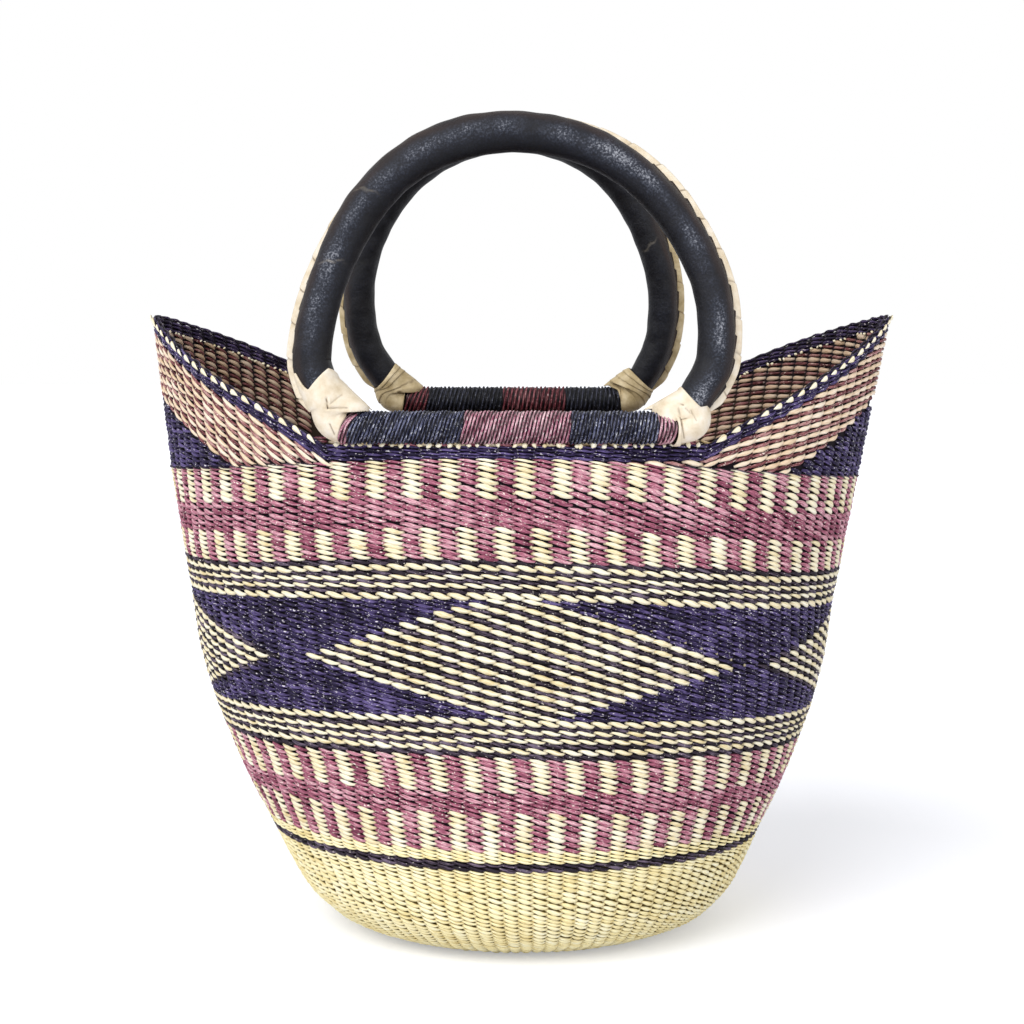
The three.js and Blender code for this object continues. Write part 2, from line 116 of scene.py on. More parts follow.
# Quads between rings of points, and lids on the first and the last ring unless the tube closes on itself
def tubeFaces(rings, sides, closed=False):
    i, j = np.arange(rings if closed else rings - 1)[:, None], np.arange(sides)
    nextI, nextJ = (i + 1) % rings, (j + 1) % sides
    corners = [i * sides + j, i * sides + nextJ, nextI * sides + nextJ, nextI * sides + j]
    quads = np.stack(corners, -1).reshape(-1, 4)
    return [quads] if closed else [quads, np.stack([j[::-1], (rings - 1) * sides + j])]


# The same faces for many alike tubes in one mesh
def manyTubes(count, rings, sides):
    step = (np.arange(count) * rings * sides)[:, None, None]
    return [(faces + step).reshape(-1, faces.shape[1]) for faces in tubeFaces(rings, sides)]


# Tubes along centre lines (count x rings x 3): an oval of half axes thick (along out) and tall (across out)
def ovalTubes(centre, out, thick, tall, sides=6):
    run = unit(np.gradient(centre, axis=-2))
    across = unit(np.cross(out, run))
    angle = -sectionAngles(sides)[:, None]
    near = thick[..., None, None] * np.cos(angle) * np.cross(run, across)[..., None, :]
    return centre[..., None, :] + near + tall[..., None, None] * np.sin(angle) * across[..., None, :]


def place(obj, body, slot, material, *nodes):  # says what a piece is made of, rides on and stands for
    obj.data.materials.append(material)
    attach(obj, body)
    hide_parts(*nodes)


# Camera first: it looks down by its pitch from in front, as the photograph does
camera = {"place": (-5.6, -1400, 387.6), "pitch": 6.015, "lens": 84.33, "sensor": 36,
          "near": 50, "far": 20000}
eye = bpy.data.objects.new("camera", bpy.data.cameras.new("camera"))
eye.location = np.array(camera["place"]) * mm
eye.rotation_euler = (math.radians(90 - camera["pitch"]), 0, 0)
eye.data.lens, eye.data.sensor_width = camera["lens"], camera["sensor"]
eye.data.clip_start, eye.data.clip_end = camera["near"] * mm, camera["far"] * mm
bpy.context.scene.collection.objects.link(eye)
bpy.context.scene.camera = eye
bpy.context.scene.view_settings.view_transform = "Standard"


def setInputs(node, inputs):  # an input that is another node's output is linked, any other is set
    for key, value in inputs.items():
        if isinstance(value, bpy.types.NodeSocket):
            node.id_data.links.new(value, node.inputs[key])
        else:
            node.inputs[key].default_value = value


def addNode(tree, kind, inputs, **settings):
    node = tree.nodes.new("ShaderNode" + kind)
    for key, value in settings.items():
        setattr(node, key, value)
    setInputs(node, inputs)
    return node


def newMaterial(name, rough, specular):
    material = bpy.data.materials.new(name)
    material.use_nodes = True
    shader = material.node_tree.nodes["Principled BSDF"]
    setInputs(shader, {"Roughness": rough, "Specular IOR Level": specular})
    return material, material.node_tree, shader


def rampStops(node, stops):  # colours of a ramp from (place, hex) pairs
    elements = node.color_ramp.elements
    while len(elements) < len(stops):
        elements.new(0.5)
    for element, (spot, code) in zip(elements, stops):
        element.position, element.color = spot, srgb(code)


# Straw: split grass with fibres along it, each one a shade of its own, some dyed. The fibre lines are 0.5 mm
# wide, coarser than real ones so that they show. Dyed straw has pale streaks and flecks where the dye left it
# or an edge frays, the flecks partly painted glints too. Every straw's hidden sides and inner side get
# painted shade.
def strawMaterial(name, dark, middle, light, fleck="#e9dfc8", fleckFrom=0.66, rough=0.6, blotch=0.35,
                  contrast=1.5, grooveShade="#160f14"):
    material, tree, shader = newMaterial(name, rough, 0.25)
    tone, inside, groove = (addNode(tree, "Attribute", {}, attribute_name=key).outputs["Fac"]
                            for key in ("tone", "inside", "groove"))
    spot = addNode(tree, "TexCoord", {})
    ways = addNode(tree, "SeparateXYZ", {0: spot.outputs["UV"]})
    lay = addNode(tree, "CombineXYZ", {0: ways.outputs[0], 1: ways.outputs[1], 2: tone})
    fibreAt = addNode(tree, "VectorMath", {0: lay.outputs[0], 1: (0.2, 1.9, 61)}, operation="MULTIPLY")
    fibre = addNode(tree, "TexNoise",
                    {"Vector": fibreAt.outputs[0], "Scale": 1, "Detail": 3, "Roughness": 0.65})
    patch = addNode(tree, "TexNoise",
                    {"Vector": spot.outputs["Object"], "Scale": 45, "Detail": 2, "Roughness": 0.5})
    # fibres, the strand's own tone and patches 22 mm wide add up to one half on average
    grain = addNode(tree, "Math", {0: fibre.outputs["Fac"], 1: contrast, 2: 0.3 - 0.5 * (contrast + blotch)},
                    operation="MULTIPLY_ADD")
    each = addNode(tree, "Math", {0: tone, 1: blotch, 2: grain.outputs[0]}, operation="MULTIPLY_ADD")
    shade = addNode(tree, "Math", {0: patch.outputs["Fac"], 1: 0.4, 2: each.outputs[0]},
                    operation="MULTIPLY_ADD")
    ramp = addNode(tree, "ValToRGB", {0: shade.outputs[0]})
    rampStops(ramp, [(0.25, dark), (0.5, middle), (0.8, light)])
    # pale flecks: partly undyed fibre, partly painted glints
    fleckAt = addNode(tree, "VectorMath", {0: lay.outputs[0], 1: (0.6, 1.5, 61)}, operation="MULTIPLY")
    spots = addNode(tree, "TexNoise",
                    {"Vector": fleckAt.outputs[0], "Scale": 1, "Detail": 1.5, "Roughness": 0.5})
    mask = addNode(tree, "MapRange", {"Value": spots.outputs["Fac"], "From Min": fleckFrom,
                                      "From Max": fleckFrom + 0.05})
    flecked = addNode(tree, "Mix", {0: mask.outputs[0], 6: ramp.outputs["Color"], 7: srgb(fleck)},
                      data_type="RGBA")
    # painted shade: the inner side of the wall is darkened towards brown by the inside attribute
    insideShade = addNode(tree, "Math", {0: inside, 1: 0.5}, operation="MULTIPLY")
    insideShaded = addNode(tree, "Mix", {0: insideShade.outputs[0], 6: flecked.outputs[2], 7: srgb("#a08472")},
                     data_type="RGBA", blend_type="MULTIPLY")
    # painted shade: the groove attribute darkens each straw's hidden sides and dives towards this colour
    grooveShaded = addNode(tree, "Mix", {0: groove, 6: insideShaded.outputs[2], 7: srgb(grooveShade)}, data_type="RGBA")
    relief = addNode(tree, "Bump", {"Height": fibre.outputs["Fac"], "Strength": 0.5, "Distance": 0.0006})
    setInputs(shader, {"Base Color": grooveShaded.outputs[2], "Normal": relief.outputs[0]})
    return material


straws = {
    "natural": strawMaterial("undyedStraw", "#e4cf90", "#fff3c0", "#fffde6", fleckFrom=0.9, blotch=0.2,
                             contrast=1, grooveShade="#a88f54"),
    "cream": strawMaterial("bleachedStraw", "#e2cd98", "#fcf1d0", "#fffcee", fleckFrom=0.9, blotch=0.2,
                           contrast=1.2, grooveShade="#3a2f1e"),
    "peach": strawMaterial("warmStraw", "#dfc09a", "#fae3c6", "#fff6e6", fleckFrom=0.9, blotch=0.2,
                           contrast=1.2, grooveShade="#1a100c"),
    "purple": strawMaterial("purpleStraw", "#0f0720", "#2b1f49", "#6e6094", fleck="#dcd6de", fleckFrom=0.64),
    "dark": strawMaterial("darkStripeStraw", "#120b14", "#2c202f", "#77687c", fleck="#d8cfc8",
                          fleckFrom=0.67),
    "maroon": strawMaterial("roseStraw", "#733349", "#b56a80", "#e8b9c2", fleck="#f4e6dc", fleckFrom=0.63,
                            grooveShade="#2a0d16"),
    "russet": strawMaterial("russetStraw", "#4c2024", "#92565a", "#cb9f9a", fleck="#f2e2d6", fleckFrom=0.63,
                            grooveShade="#1c0b10"),
    # the bars' cords
    "navy": strawMaterial("navyCord", "#070816", "#181c3c", "#868aa8", fleck="#d4d5de", fleckFrom=0.62,
                          rough=0.5, contrast=2.2, grooveShade="#07060c"),
    "pink": strawMaterial("pinkCord", "#74344a", "#b8728a", "#f4d4d8", fleck="#f6e6e4", fleckFrom=0.6,
                          rough=0.5, contrast=2.2, grooveShade="#20090f"),
    "wine": strawMaterial("wineCord", "#3a0f15", "#742c38", "#b47c80", fleck="#d8b9b4", rough=0.5,
                          contrast=1.8, grooveShade="#12060a"),
    # a darker copy of the navy cord, for the back bar and the beds: painted shade
    "navyInShade": strawMaterial("navyCordInShade", "#05060c", "#11131f", "#4c4e60", fleck="#8f909a", rough=0.55, contrast=2,
                         grooveShade="#040407"),
}
print("straw materials made")

# The woven body. Shares are read at twelve courses from the base's turn to the top of the full courses.
basketShape = {
    "wall": 5, "baseFlat": 79, "baseTurn": 112, "baseTurnHeight": 9.5, "baseTurnPower": 1.8,
    "courseTop": 282.1, "courseHalfLength": 201.4, "bellyHalfDepth": 141, "mouthHalfDepth": 125,
    "mouthPlan": (3, 1.3), "boatPoint": 0.58, "rimHeight": 289, "tipReach": 215.2, "tipHeight": 355.3,
    "endDrop": 17.4, "sway": 5.6, "swayPower": 0.7, "tilt": 4.5,
    "heights": [0.0337, 0.093, 0.2086, 0.232, 0.327, 0.4355, 0.508, 0.618, 0.7335, 0.7985, 0.896, 1],
    "drops": [0, 0.04, 0.13, 0.19, 0.43, 0.42, 0.54, 0.705, 0.775, 0.845, 0.935, 1],
    "lengths": [0.556, 0.632, 0.71, 0.722, 0.7805, 0.8435, 0.8765, 0.914, 0.9365, 0.953, 0.975, 1],
    "depths": [0.794, 0.911, 0.993, 1, 1, 0.989, 0.982, 0.968, 0.95, 0.94, 0.922, 0.901],
    "boats": [0, 0, 0, 0, 0.1, 0.16, 0.23, 0.36, 0.52, 0.62, 0.8, 1],
    "rowsAtCourses": [0, 8, 20, 22, 32, 43.3, 51, 62.5, 74, 81, 90.5, 100],
    "courseLines": [0, 1, 2.05, 2.95, 4, 5, 6, 7, 8, 9, 10, 11],
    "stakes": 104, "baseRows": 37, "baseRowPitch": 2.8, "rowWander": 0.16,
    # the stakes lean: rows, and how many stakes further round each of them starts
    "leanRows": [-37, 0, 28, 39, 51, 62, 73, 85, 96, 100],
    "leanStakes": [1.4, 1.4, 1.5, 1.65, 1.02, 0.55, 0.15, -0.5, -0.45, -0.45],
}
handles = {
    "front": {"side": -1, "shift": -4.9, "span": 96.5, "wide": 108.6, "high": 108.3, "pulls": (6.6, 3),
              "margin": 4, "risePower": 0.9, "tipRise": 0.2, "tuck": (3, 6.5), "bow": (0, 1.9),
              "slim": ([0.2, 0.26, 0.33, 0.4, 0.5, 0.6, 0.7, 0.8], [1.9, 1.9, 2.1, 1.2, 0.2, 0.5, 1.0, 1.1])},
    "back": {"side": 1, "shift": -5.5, "span": 76, "wide": 96.3, "high": 103.8, "pulls": (0.4, 3.6),
             "margin": 9, "risePower": 0.72, "tipRise": 0, "tuck": (5, 2.2), "bow": (0, 0.8),
             "slim": ([0.2, 0.26, 0.33, 0.4, 0.5, 0.6, 0.7, 0.8], [2.3, 2.3, 2.1, 1.2, 0.2, 0.8, 1.7, 1.7])},
}
gridTurns = 1200


# Catmull-Rom curve through a table, read at line
def tableCurve(shares, line):
    i = np.clip(np.floor(line).astype(int), 0, len(shares) - 2)
    f = line - i
    a, b, c, d = (np.array(shares)[np.clip(i + k, 0, len(shares) - 1)] for k in (-1, 0, 1, 2))
    return b + f / 2 * (c - a + f * (2 * a - 5 * b + 4 * c - d + f * (3 * (b - c) + d - a)))


# Plan of a course: x = a c, y = b (1 - c^flat)^(1/point), evenly spaced from the left end over the front
def planPoints(halfLength, halfDepth, flat, point, turns):
    c = np.cos(np.linspace(0, math.pi / 2, 401))
    c[-1] = 0
    x, y = halfLength * c, halfDepth * (1 - c ** flat) ** (1 / point)
    reach = np.concatenate([[0], np.cumsum(np.hypot(np.diff(x), np.diff(y)))])
    quarter = np.floor(turns * 4).astype(int) % 4
    share = turns * 4 % 1
    goal = np.where(quarter % 2 == 1, 1 - share, share) * reach[-1]
    px, py = np.interp(goal, reach, x), np.interp(goal, reach, y)
    return np.where((quarter == 0) | (quarter == 3), -px, px), np.where(quarter < 2, -py, py)


# Lean of the wall: x less sway sin(pi climb)^power, z less tilt sin(pi climb) x / a
def leaned(x, y, z, level, halfLength):
    b = basketShape
    climb = np.clip((level - b["baseTurnHeight"]) / (b["tipHeight"] - b["baseTurnHeight"]), 0, 1)
    swing = np.sin(math.pi * climb)
    return np.stack([x - b["sway"] * swing ** b["swayPower"], y, z - b["tilt"] * swing * x / halfLength], -1)


# Outside of the wall at whole rows: the base's rows are circles, those above follow the tables
def outsideGrid(rows, turns):
    b = basketShape
    line = np.interp(rows, b["rowsAtCourses"], b["courseLines"])
    boat = tableCurve(b["boats"], line)
    face = b["courseTop"] * tableCurve(b["heights"], line)
    end = face - b["endDrop"] * tableCurve(b["drops"], line)
    halfLength = b["courseHalfLength"] * tableCurve(b["lengths"], line)
    halfDepth = b["bellyHalfDepth"] * tableCurve(b["depths"], line)
    t = np.linspace(1, 0, 200)  # the base's rounded edge: z = height t^power out from the flat
    turnOut = b["baseFlat"] + (b["baseTurn"] - b["baseFlat"]) * t
    turnUp = b["baseTurnHeight"] * t ** b["baseTurnPower"]
    length = np.concatenate([[0], np.cumsum(np.hypot(np.diff(turnOut), np.diff(turnUp)))])
    depth = np.append(length, length[-1] + b["baseFlat"])
    inward = -np.minimum(rows, 0) * b["baseRowPitch"]
    baseRadius = np.interp(inward, depth, np.append(turnOut, 0))
    baseUp = np.interp(inward, depth, np.append(turnUp, 0))
    grid = []
    for k, row in enumerate(rows):
        if row < 0:
            x, y = planPoints(baseRadius[k], baseRadius[k], 2, 2, turns)
            grid.append(np.stack([x, y, np.full_like(x, baseUp[k])], -1))
        else:
            x, y = planPoints(halfLength[k], halfDepth[k], 2 + boat[k], 2 - b["boatPoint"] * boat[k], turns)
            z = face[k] + (end[k] - face[k]) * (x / halfLength[k]) ** 2
            grid.append(leaned(x, y, z, face[k], halfLength[k]))
    return np.array(grid)


# Outside of the edge: level along a handle, then climbing by its two powers to the tip
def edgeLine(turns):
    b = basketShape
    x, y = planPoints(b["tipReach"], b["mouthHalfDepth"], *b["mouthPlan"], turns)
    z = np.zeros_like(x)
    for handle in handles.values():
        level = handle["span"] + abs(handle["shift"]) + handle["margin"]
        climb = np.clip((abs(x) - level) / (b["tipReach"] - level), 0, 1)
        rise = (1 - handle["tipRise"]) * climb ** handle["risePower"] + handle["tipRise"] * climb ** 4
        z = np.where(y * handle["side"] >= 0, b["rimHeight"] + (b["tipHeight"] - b["rimHeight"]) * rise, z)
    lean = leaned(np.zeros_like(x), y, z, b["courseTop"], b["tipReach"])[..., 0]
    return np.stack([x + lean * (1 - (x / b["tipReach"]) ** 2), y, z], -1)


def aroundStep(grid):  # direction round a closed line
    return unit(np.roll(grid, -1, axis=-2) - np.roll(grid, 1, axis=-2))


turns = np.arange(gridTurns) / gridTurns
wallRows = np.arange(-basketShape["baseRows"], 101)
outside = outsideGrid(wallRows, turns)
wallOut = unit(np.cross(aroundStep(outside), np.gradient(outside, axis=0)))
wallMiddle = outside - wallOut * basketShape["wall"] / 2
edgeTop = edgeLine(turns)
edgeTall = edgeTop[:, 2:] - outside[-1][:, 2:]
edgeUpward = unit(edgeTop - outside[-1])
edgeOut = unit(np.cross(aroundStep(edgeTop), edgeUpward))
edgeMiddle = edgeTop - edgeOut * basketShape["wall"] / 2
lowOut = unit(wallOut[-1] + edgeOut)
lowMiddle = outside[-1] - lowOut * basketShape["wall"] / 2


# Reads values round a closed line at fractions of a turn, or round several where each has a row of its own
def readRound(values, turn, row=()):
    spot = (turn % 1) * gridTurns
    i = np.floor(spot).astype(int) % gridTurns
    f = (spot - np.floor(spot))[..., None]
    return values[(*row, i)] * (1 - f) + values[(*row, (i + 1) % gridTurns)] * f


# Middle of the wall at a stake and row, fractional too, with its directions out and up and the rows' spacing
def wallAt(stake, row):
    b = basketShape
    row = row + b["rowWander"] * ripple(stake / b["stakes"], row / 40, 5, 18, 6)
    turn = (stake + np.interp(row, b["leanRows"], b["leanStakes"])) / b["stakes"]
    spot = np.clip(row - wallRows[0], 0, len(wallRows) - 1.001)
    j = np.floor(spot).astype(int)
    share = (spot - j)[..., None]
    low, high = readRound(wallMiddle, turn, (j,)), readRound(wallMiddle, turn, (j + 1,))
    up, out = high - low, readRound(wallOut, turn, (j,))
    return low * (1 - share) + high * share, unit(out), unit(up), np.linalg.norm(up, axis=-1)


def edgeTurn(stake):  # fraction of a turn at which a stake comes to the edge
    return (stake + basketShape["leanStakes"][-1]) / basketShape["stakes"]


def edgeTallAt(stake):  # height of the edge over the top course
    return readRound(edgeTall, edgeTurn(stake))[..., 0]


# Middle of the wall above the full courses, at a stake and a height in millimetres from the top course
def edgeAt(stake, height):
    turn = edgeTurn(stake)
    share = height[..., None] / readRound(edgeTall, turn)
    point = readRound(lowMiddle, turn) * (1 - share) + readRound(edgeMiddle, turn) * share
    out = readRound(lowOut, turn) * (1 - share) + readRound(edgeOut, turn) * share
    return point, unit(out), unit(readRound(edgeUpward, turn))


# Each strand passes outside stake s and inside the next one. Over u from -1/2 to 3/2 stakes, with c = cos(pi
# u), it stands off the middle of the wall by lift (c + lean (1 - c^2))^flat and slants by -slant pitch sin(pi
# u). Its section is an oval, tallest over a stake and narrow where it dives between two of them. Painted
# shade darkens its hidden sides, where it dives, and its inner side.
strand = {"lift": 1.6, "paleLift": 0.15, "lean": 0.28, "flat": 0.75, "slant": 0.33, "thick": 0.84,
          "tall": 0.28, "belly": 0.21, "paleTall": 1.08, "outSteps": 6, "inSteps": 5, "ground": 0.02}


def addStrands(name, node, slot, colour, stakes, rows, where, seed, width=1, slant=strand["slant"],
               tallness=1):
    draw = np.random.default_rng(seed)
    s, count, pale = strand, len(stakes), colour in ("cream", "peach")
    outward, inward = np.linspace(-0.5, 0.5, s["outSteps"] + 1), np.linspace(0.5, 1.5, s["inSteps"] + 1)
    u = np.concatenate([outward, inward[1:]])
    c = np.cos(math.pi * u)
    vary = draw.normal(0, 1, (4, count, 1))
    point, out, up, pitch, fade = where(stakes[:, None] + u * width, rows[:, None])
    crest = c + s["lean"] * (1 - c ** 2)
    crest = np.sign(crest) * np.abs(crest) ** s["flat"]
    stand = (s["lift"] + s["paleLift"] * pale) * (1 + 0.07 * vary[0]) * crest * fade
    aside = -slant * pitch * np.sin(math.pi * u) + 0.05 * pitch * vary[1]
    centre = point + out * stand[..., None] + up * aside[..., None]
    tall = pitch * (s["tall"] + s["belly"] * c ** 2) * (1 + 0.07 * vary[2]) * (0.4 + 0.6 * fade)
    tall = tall * (s["paleTall"] if pale else 1) * tallness
    thick = s["thick"] * (1 + 0.08 * vary[3]) * (0.75 + 0.25 * c ** 2) * (0.3 + 0.7 * fade)
    points = ovalTubes(centre, out, thick, tall)
    points[..., 2] = np.maximum(points[..., 2], s["ground"])  # the underside is worn flat
    steps = np.linalg.norm(np.diff(centre, axis=1), axis=-1)
    run = np.concatenate([np.zeros((count, 1)), np.cumsum(steps, 1)], 1)
    across = sectionAngles(6)
    side = np.cos(across) * np.sign(crest)[:, None]  # 1 where the section faces its onlooker
    # tone is each strand's own; inside and groove carry painted shade for the inner side and the hidden sides
    obj = addObject(name, points, manyTubes(*points.shape[:3]),
                    (run[..., None], -tall[..., None] * np.sin(across)),
                    tone=draw.uniform(0, 1, count)[:, None, None], inside=smooth(-2 * crest)[:, None],
                    groove=0.9 * smooth(0.75 - side) + 0.12 * smooth(1 - np.abs(c)[:, None] / 0.4))
    place(obj, "basket", slot, straws[colour], node)


# The places that a strand can follow give its point, directions out and up, pitch and share of full size
def onWall(stake, row):
    return *wallAt(stake, row + 0.5), 1


quarter = basketShape["stakes"] // 4
diamonds = {"middleRow": 62, "half": 11, "wideHalf": 12}


# Colour of the strand that passes outside stake s in row r: bands, checks, stripes and four diamonds
def strandColour(s, r):
    even, striped = s % 2 == 0, r % 2 == 0
    colour = np.full(s.shape, "natural", dtype=object)
    for low, high, where, word in [
            (20, 22, True, "dark"),
            (25, 43, True, "maroon"), (25, 32, ~even, "cream"), (36, 43, even, "cream"),
            (43, 51, True, "dark"), (44, 51, striped, "cream"),
            (51, 74, True, "purple"),
            (74, 82, True, "dark"), (74, 81, striped, "cream"),
            (82, 100, True, "maroon"), (82, 88, even, "cream"), (93, 100, ~even, "cream")]:
        colour[(r >= low) & (r < high) & where] = word
    fromCentre = abs((s + quarter // 2) % quarter - quarter // 2)
    wider = (s + quarter // 2) // quarter % 2 == 1  # in front and at the back
    half = np.where(wider, diamonds["wideHalf"], diamonds["half"])
    inside = (fromCentre + abs(r - diamonds["middleRow"]) <= half) & (r >= 51) & (r < 74)
    colour[inside & ((s + r) % 2 == 0)] = "cream"
    colour[inside & ((s + r) % 2 == 1)] = "dark"
    return colour


def cells(stakes, fromRow, toRow):  # every stake with every row
    return (a.ravel() for a in np.meshgrid(stakes, np.arange(fromRow, toRow)))


bands = [
    ("naturalLower", 0, 10, "natural_courses", "natural_straw"),
    ("naturalUpper", 10, 20, "natural_courses", "natural_straw"),
    ("pin", 20, 22, "purple_pin_courses", "purple_straw"),
    ("lowerChecks", 22, 43, "lower_check_courses", "check_straw"),
    ("lowerStripes", 43, 51, "lower_stripe_courses", "stripe_straw"),
    ("diamondsLower", 51, 63, "diamond_courses", "diamond_straw"),
    ("diamondsUpper", 63, 74, "diamond_courses", "diamond_straw"),
    ("upperStripes", 74, 81, "upper_stripe_courses", "stripe_straw"),
    ("upperChecks", 81, 100, "upper_check_courses", "check_straw"),
]
diamondTallness = {"cream": 1.12, "dark": 0.9, "purple": 1}
stakesAround = np.arange(basketShape["stakes"])
for n, (word, fromRow, toRow, node, slot) in enumerate(bands):
    s, r = cells(stakesAround, fromRow, toRow)
    colour = strandColour(s, r)
    for shade in sorted(set(colour)):
        pick = colour == shade
        tallness = diamondTallness[shade] if slot == "diamond_straw" else 1
        addStrands(word + "_" + shade, node, slot, shade, s[pick], r[pick], onWall, 10 * n + len(shade),
                   tallness=tallness)
print("full courses woven")

# The base, from its turn inwards, on fewer stakes as it narrows
baseStrands = [("baseTurnStrands", -12, 0, 1, "base_turn"), ("baseOuterStrands", -20, -12, 1, "woven_base"),
               ("baseMiddleStrands", -30, -20, 2, "woven_base"),
               ("baseInnerStrands", -36, -30, 4, "woven_base")]
for n, (word, fromRow, toRow, width, node) in enumerate(baseStrands):
    s, r = cells(stakesAround[::width], fromRow, toRow)
    addStrands(word, node, "natural_straw", "natural", s, r, onWall, 200 + n, width)
print("base woven")

# Above the full courses: four purple rows along the edge, slanting rows below, and level rows at the ends
edgeRows = {"rows": 4, "band": 9, "slant": 0.22, "topFade": 0.75, "slantPitch": 2.8, "slantRows": 13,
            "levelPitch": 2.85, "levelRows": 14, "fadeOver": 2.4, "slantRoom": -2.6, "levelRoom": -1.2,
            "footRow": 99.45, "footStand": 0.7, "footTallness": 0.42, "footFrom": 11}


# Rows under the edge: (row + 1/2) pitches below it, and closer together where it is low
def onRim(stake, row):
    tall = edgeTallAt(stake)
    pitch = np.minimum(tall, edgeRows["band"]) / edgeRows["rows"]
    return *edgeAt(stake, tall - (row + 0.5) * pitch), pitch, np.where(row < 0.5, edgeRows["topFade"], 1)


def slantHeight(stake, row):  # (row + 1/2) pitches below the rows of the edge
    return edgeTallAt(stake) - edgeRows["band"] - (row + 0.5) * edgeRows["slantPitch"]


def slantRoom(stake, row):  # the lower of a strand's two ends
    return np.minimum(slantHeight(stake - 0.5, row), slantHeight(stake + 0.5, row))


def onSlant(stake, row):  # rows that keep their distance from the edge and thin out at the top course
    height = slantHeight(stake, row)
    return *edgeAt(stake, height), edgeRows["slantPitch"], smooth(height / edgeRows["fadeOver"] + 1)


def onLevel(stake, row):  # (row + 1/2) pitches over the top course, up to the lowest slanting row
    height = (row + 0.5) * edgeRows["levelPitch"]
    room = slantHeight(stake, edgeRows["slantRows"] - 0.5) - height
    return *edgeAt(stake, height), edgeRows["levelPitch"], smooth(room / edgeRows["fadeOver"] + 0.6)


def onFoot(stake, row):  # a thin dark strand, standing proud where an end begins: painted shade at its foot
    point, out, *rest = onWall(stake, row)
    return point + out * edgeRows["footStand"], out, *rest


s, r = cells(stakesAround, 0, edgeRows["rows"])
addStrands("edgeStrands", "rim_courses", "purple_straw", "purple", s, r, onRim, 300, slant=edgeRows["slant"])
ends = [("leftEnd", "left_end_gusset", 0.96), ("rightEnd", "right_end_gusset", 1.08)]
for n, (word, node, peachTall) in enumerate(ends):
    stakes = stakesAround[((stakesAround + quarter) % (4 * quarter) >= 2 * quarter) == n]
    s, r = cells(stakes, 0, edgeRows["slantRows"])
    fits = slantRoom(s, r) > edgeRows["slantRoom"]
    for shade, parity, tallness in (("peach", 0, peachTall), ("russet", 1, 0.82)):
        pick = fits & ((s + r) % 2 == parity)
        addStrands(word + "_" + shade, node, "check_straw", shade, s[pick], r[pick], onSlant, 310 + n,
                   tallness=tallness)
    s, r = cells(stakes, 0, edgeRows["levelRows"])
    room = slantRoom(s, edgeRows["slantRows"] - 0.5) - (r + 0.5) * edgeRows["levelPitch"]
    pick = room > edgeRows["levelRoom"]
    addStrands(word + "_purple", node, "check_straw", "purple", s[pick], r[pick], onLevel, 320 + n)
    # the foot line is a dark strand laid along the gap under each end: painted shade
    foot = stakes[readRound(edgeTall, stakes / basketShape["stakes"])[:, 0] > edgeRows["footFrom"]]
    addStrands(word + "_footLine", "upper_check_courses", "check_straw", "dark", foot,
               np.full(len(foot), edgeRows["footRow"]), onFoot, 330 + n, tallness=edgeRows["footTallness"])
print("ends and edge woven")

# Stakes behind the strands: a thin skin in the middle of the wall, coloured with painted shade: dark between
# dyed rows, olive between natural ones and brown inside
stakeSkin = {"half": 0.3, "outward": 0.1, "columns": 240, "rowStep": 4,
             "edgeShares": [0.02, 0.25, 0.5, 0.75, 0.97], "dyedFrom": (0.056, 0.062)}


def stakeMaterial():
    material, tree, shader = newMaterial("stakesInShade", 0.9, 0.2)
    spot = addNode(tree, "TexCoord", {})
    inside = addNode(tree, "Attribute", {}, attribute_name="inside")
    split = addNode(tree, "SeparateXYZ", {0: spot.outputs["Object"]})
    low, high = stakeSkin["dyedFrom"]
    dyed = addNode(tree, "MapRange", {"Value": split.outputs["Z"], "From Min": low, "From Max": high})
    # painted shade: darker between dyed rows, and brown on the inner sheet
    outer = addNode(tree, "Mix", {0: dyed.outputs[0], 6: srgb("#6b5a2c"), 7: srgb("#150f16")},
                    data_type="RGBA")
    inner = addNode(tree, "Mix", {0: inside.outputs["Fac"], 6: outer.outputs[2], 7: srgb("#34281f")},
                    data_type="RGBA")
    setInputs(shader, {"Base Color": inner.outputs[2]})
    return material


# Two surfaces half a thickness from the wall's middle, joined at the edge and in the middle of the base
def addSkin():
    k = stakeSkin
    around = np.arange(k["columns"]) * gridTurns // k["columns"]
    wallStart = basketShape["baseRows"]
    rows = [0, *range(1, wallStart, k["rowStep"]), *range(wallStart, len(wallRows), k["rowStep"])]
    share = np.array(k["edgeShares"])[:, None, None]
    middle = np.concatenate([wallMiddle[rows], lowMiddle * (1 - share) + edgeMiddle * share])[:, around]
    out = np.concatenate([wallOut[rows], unit(lowOut * (1 - share) + edgeOut * share)])[:, around]
    middle = middle + out * k["outward"]
    skin = np.concatenate([middle + out * k["half"], (middle - out * k["half"])[::-1]])
    # the first and last rings are the middle of the base below and above, and close on their own lids
    inside = (np.arange(len(skin)) >= len(middle) + 2)[:, None]
    obj = addObject("stakeSkin", skin, tubeFaces(len(skin), k["columns"]), inside=inside)
    place(obj, "basket", "natural_straw", stakeMaterial(), "natural_courses", "woven_base")


addSkin()
print("stake skin made")

# Beads: the ends of the stakes are folded over the edge and show outside it as a row of pale leaf-shaped
# knuckles. Pairs of values are for the front and the back, or the left and the right.
beads = {"count": 126, "stray": 0.06, "half": 3.0, "tall": 2.3, "thick": 1.1, "stand": 3.1,
         "down": (0.5, 1.9), "droop": (1.9, 0.4), "slack": 9}


def edgeClear(stake, widen=1):  # true where no handle's bar sits on the edge
    x, y = readRound(edgeMiddle, edgeTurn(stake))[:, :2].T
    clear = np.ones_like(x, dtype=bool)
    for handle in handles.values():
        over = abs(x * widen - handle["shift"]) < handle["span"] + beads["slack"]
        clear &= ~((y * handle["side"] > 0) & over)
    return clear


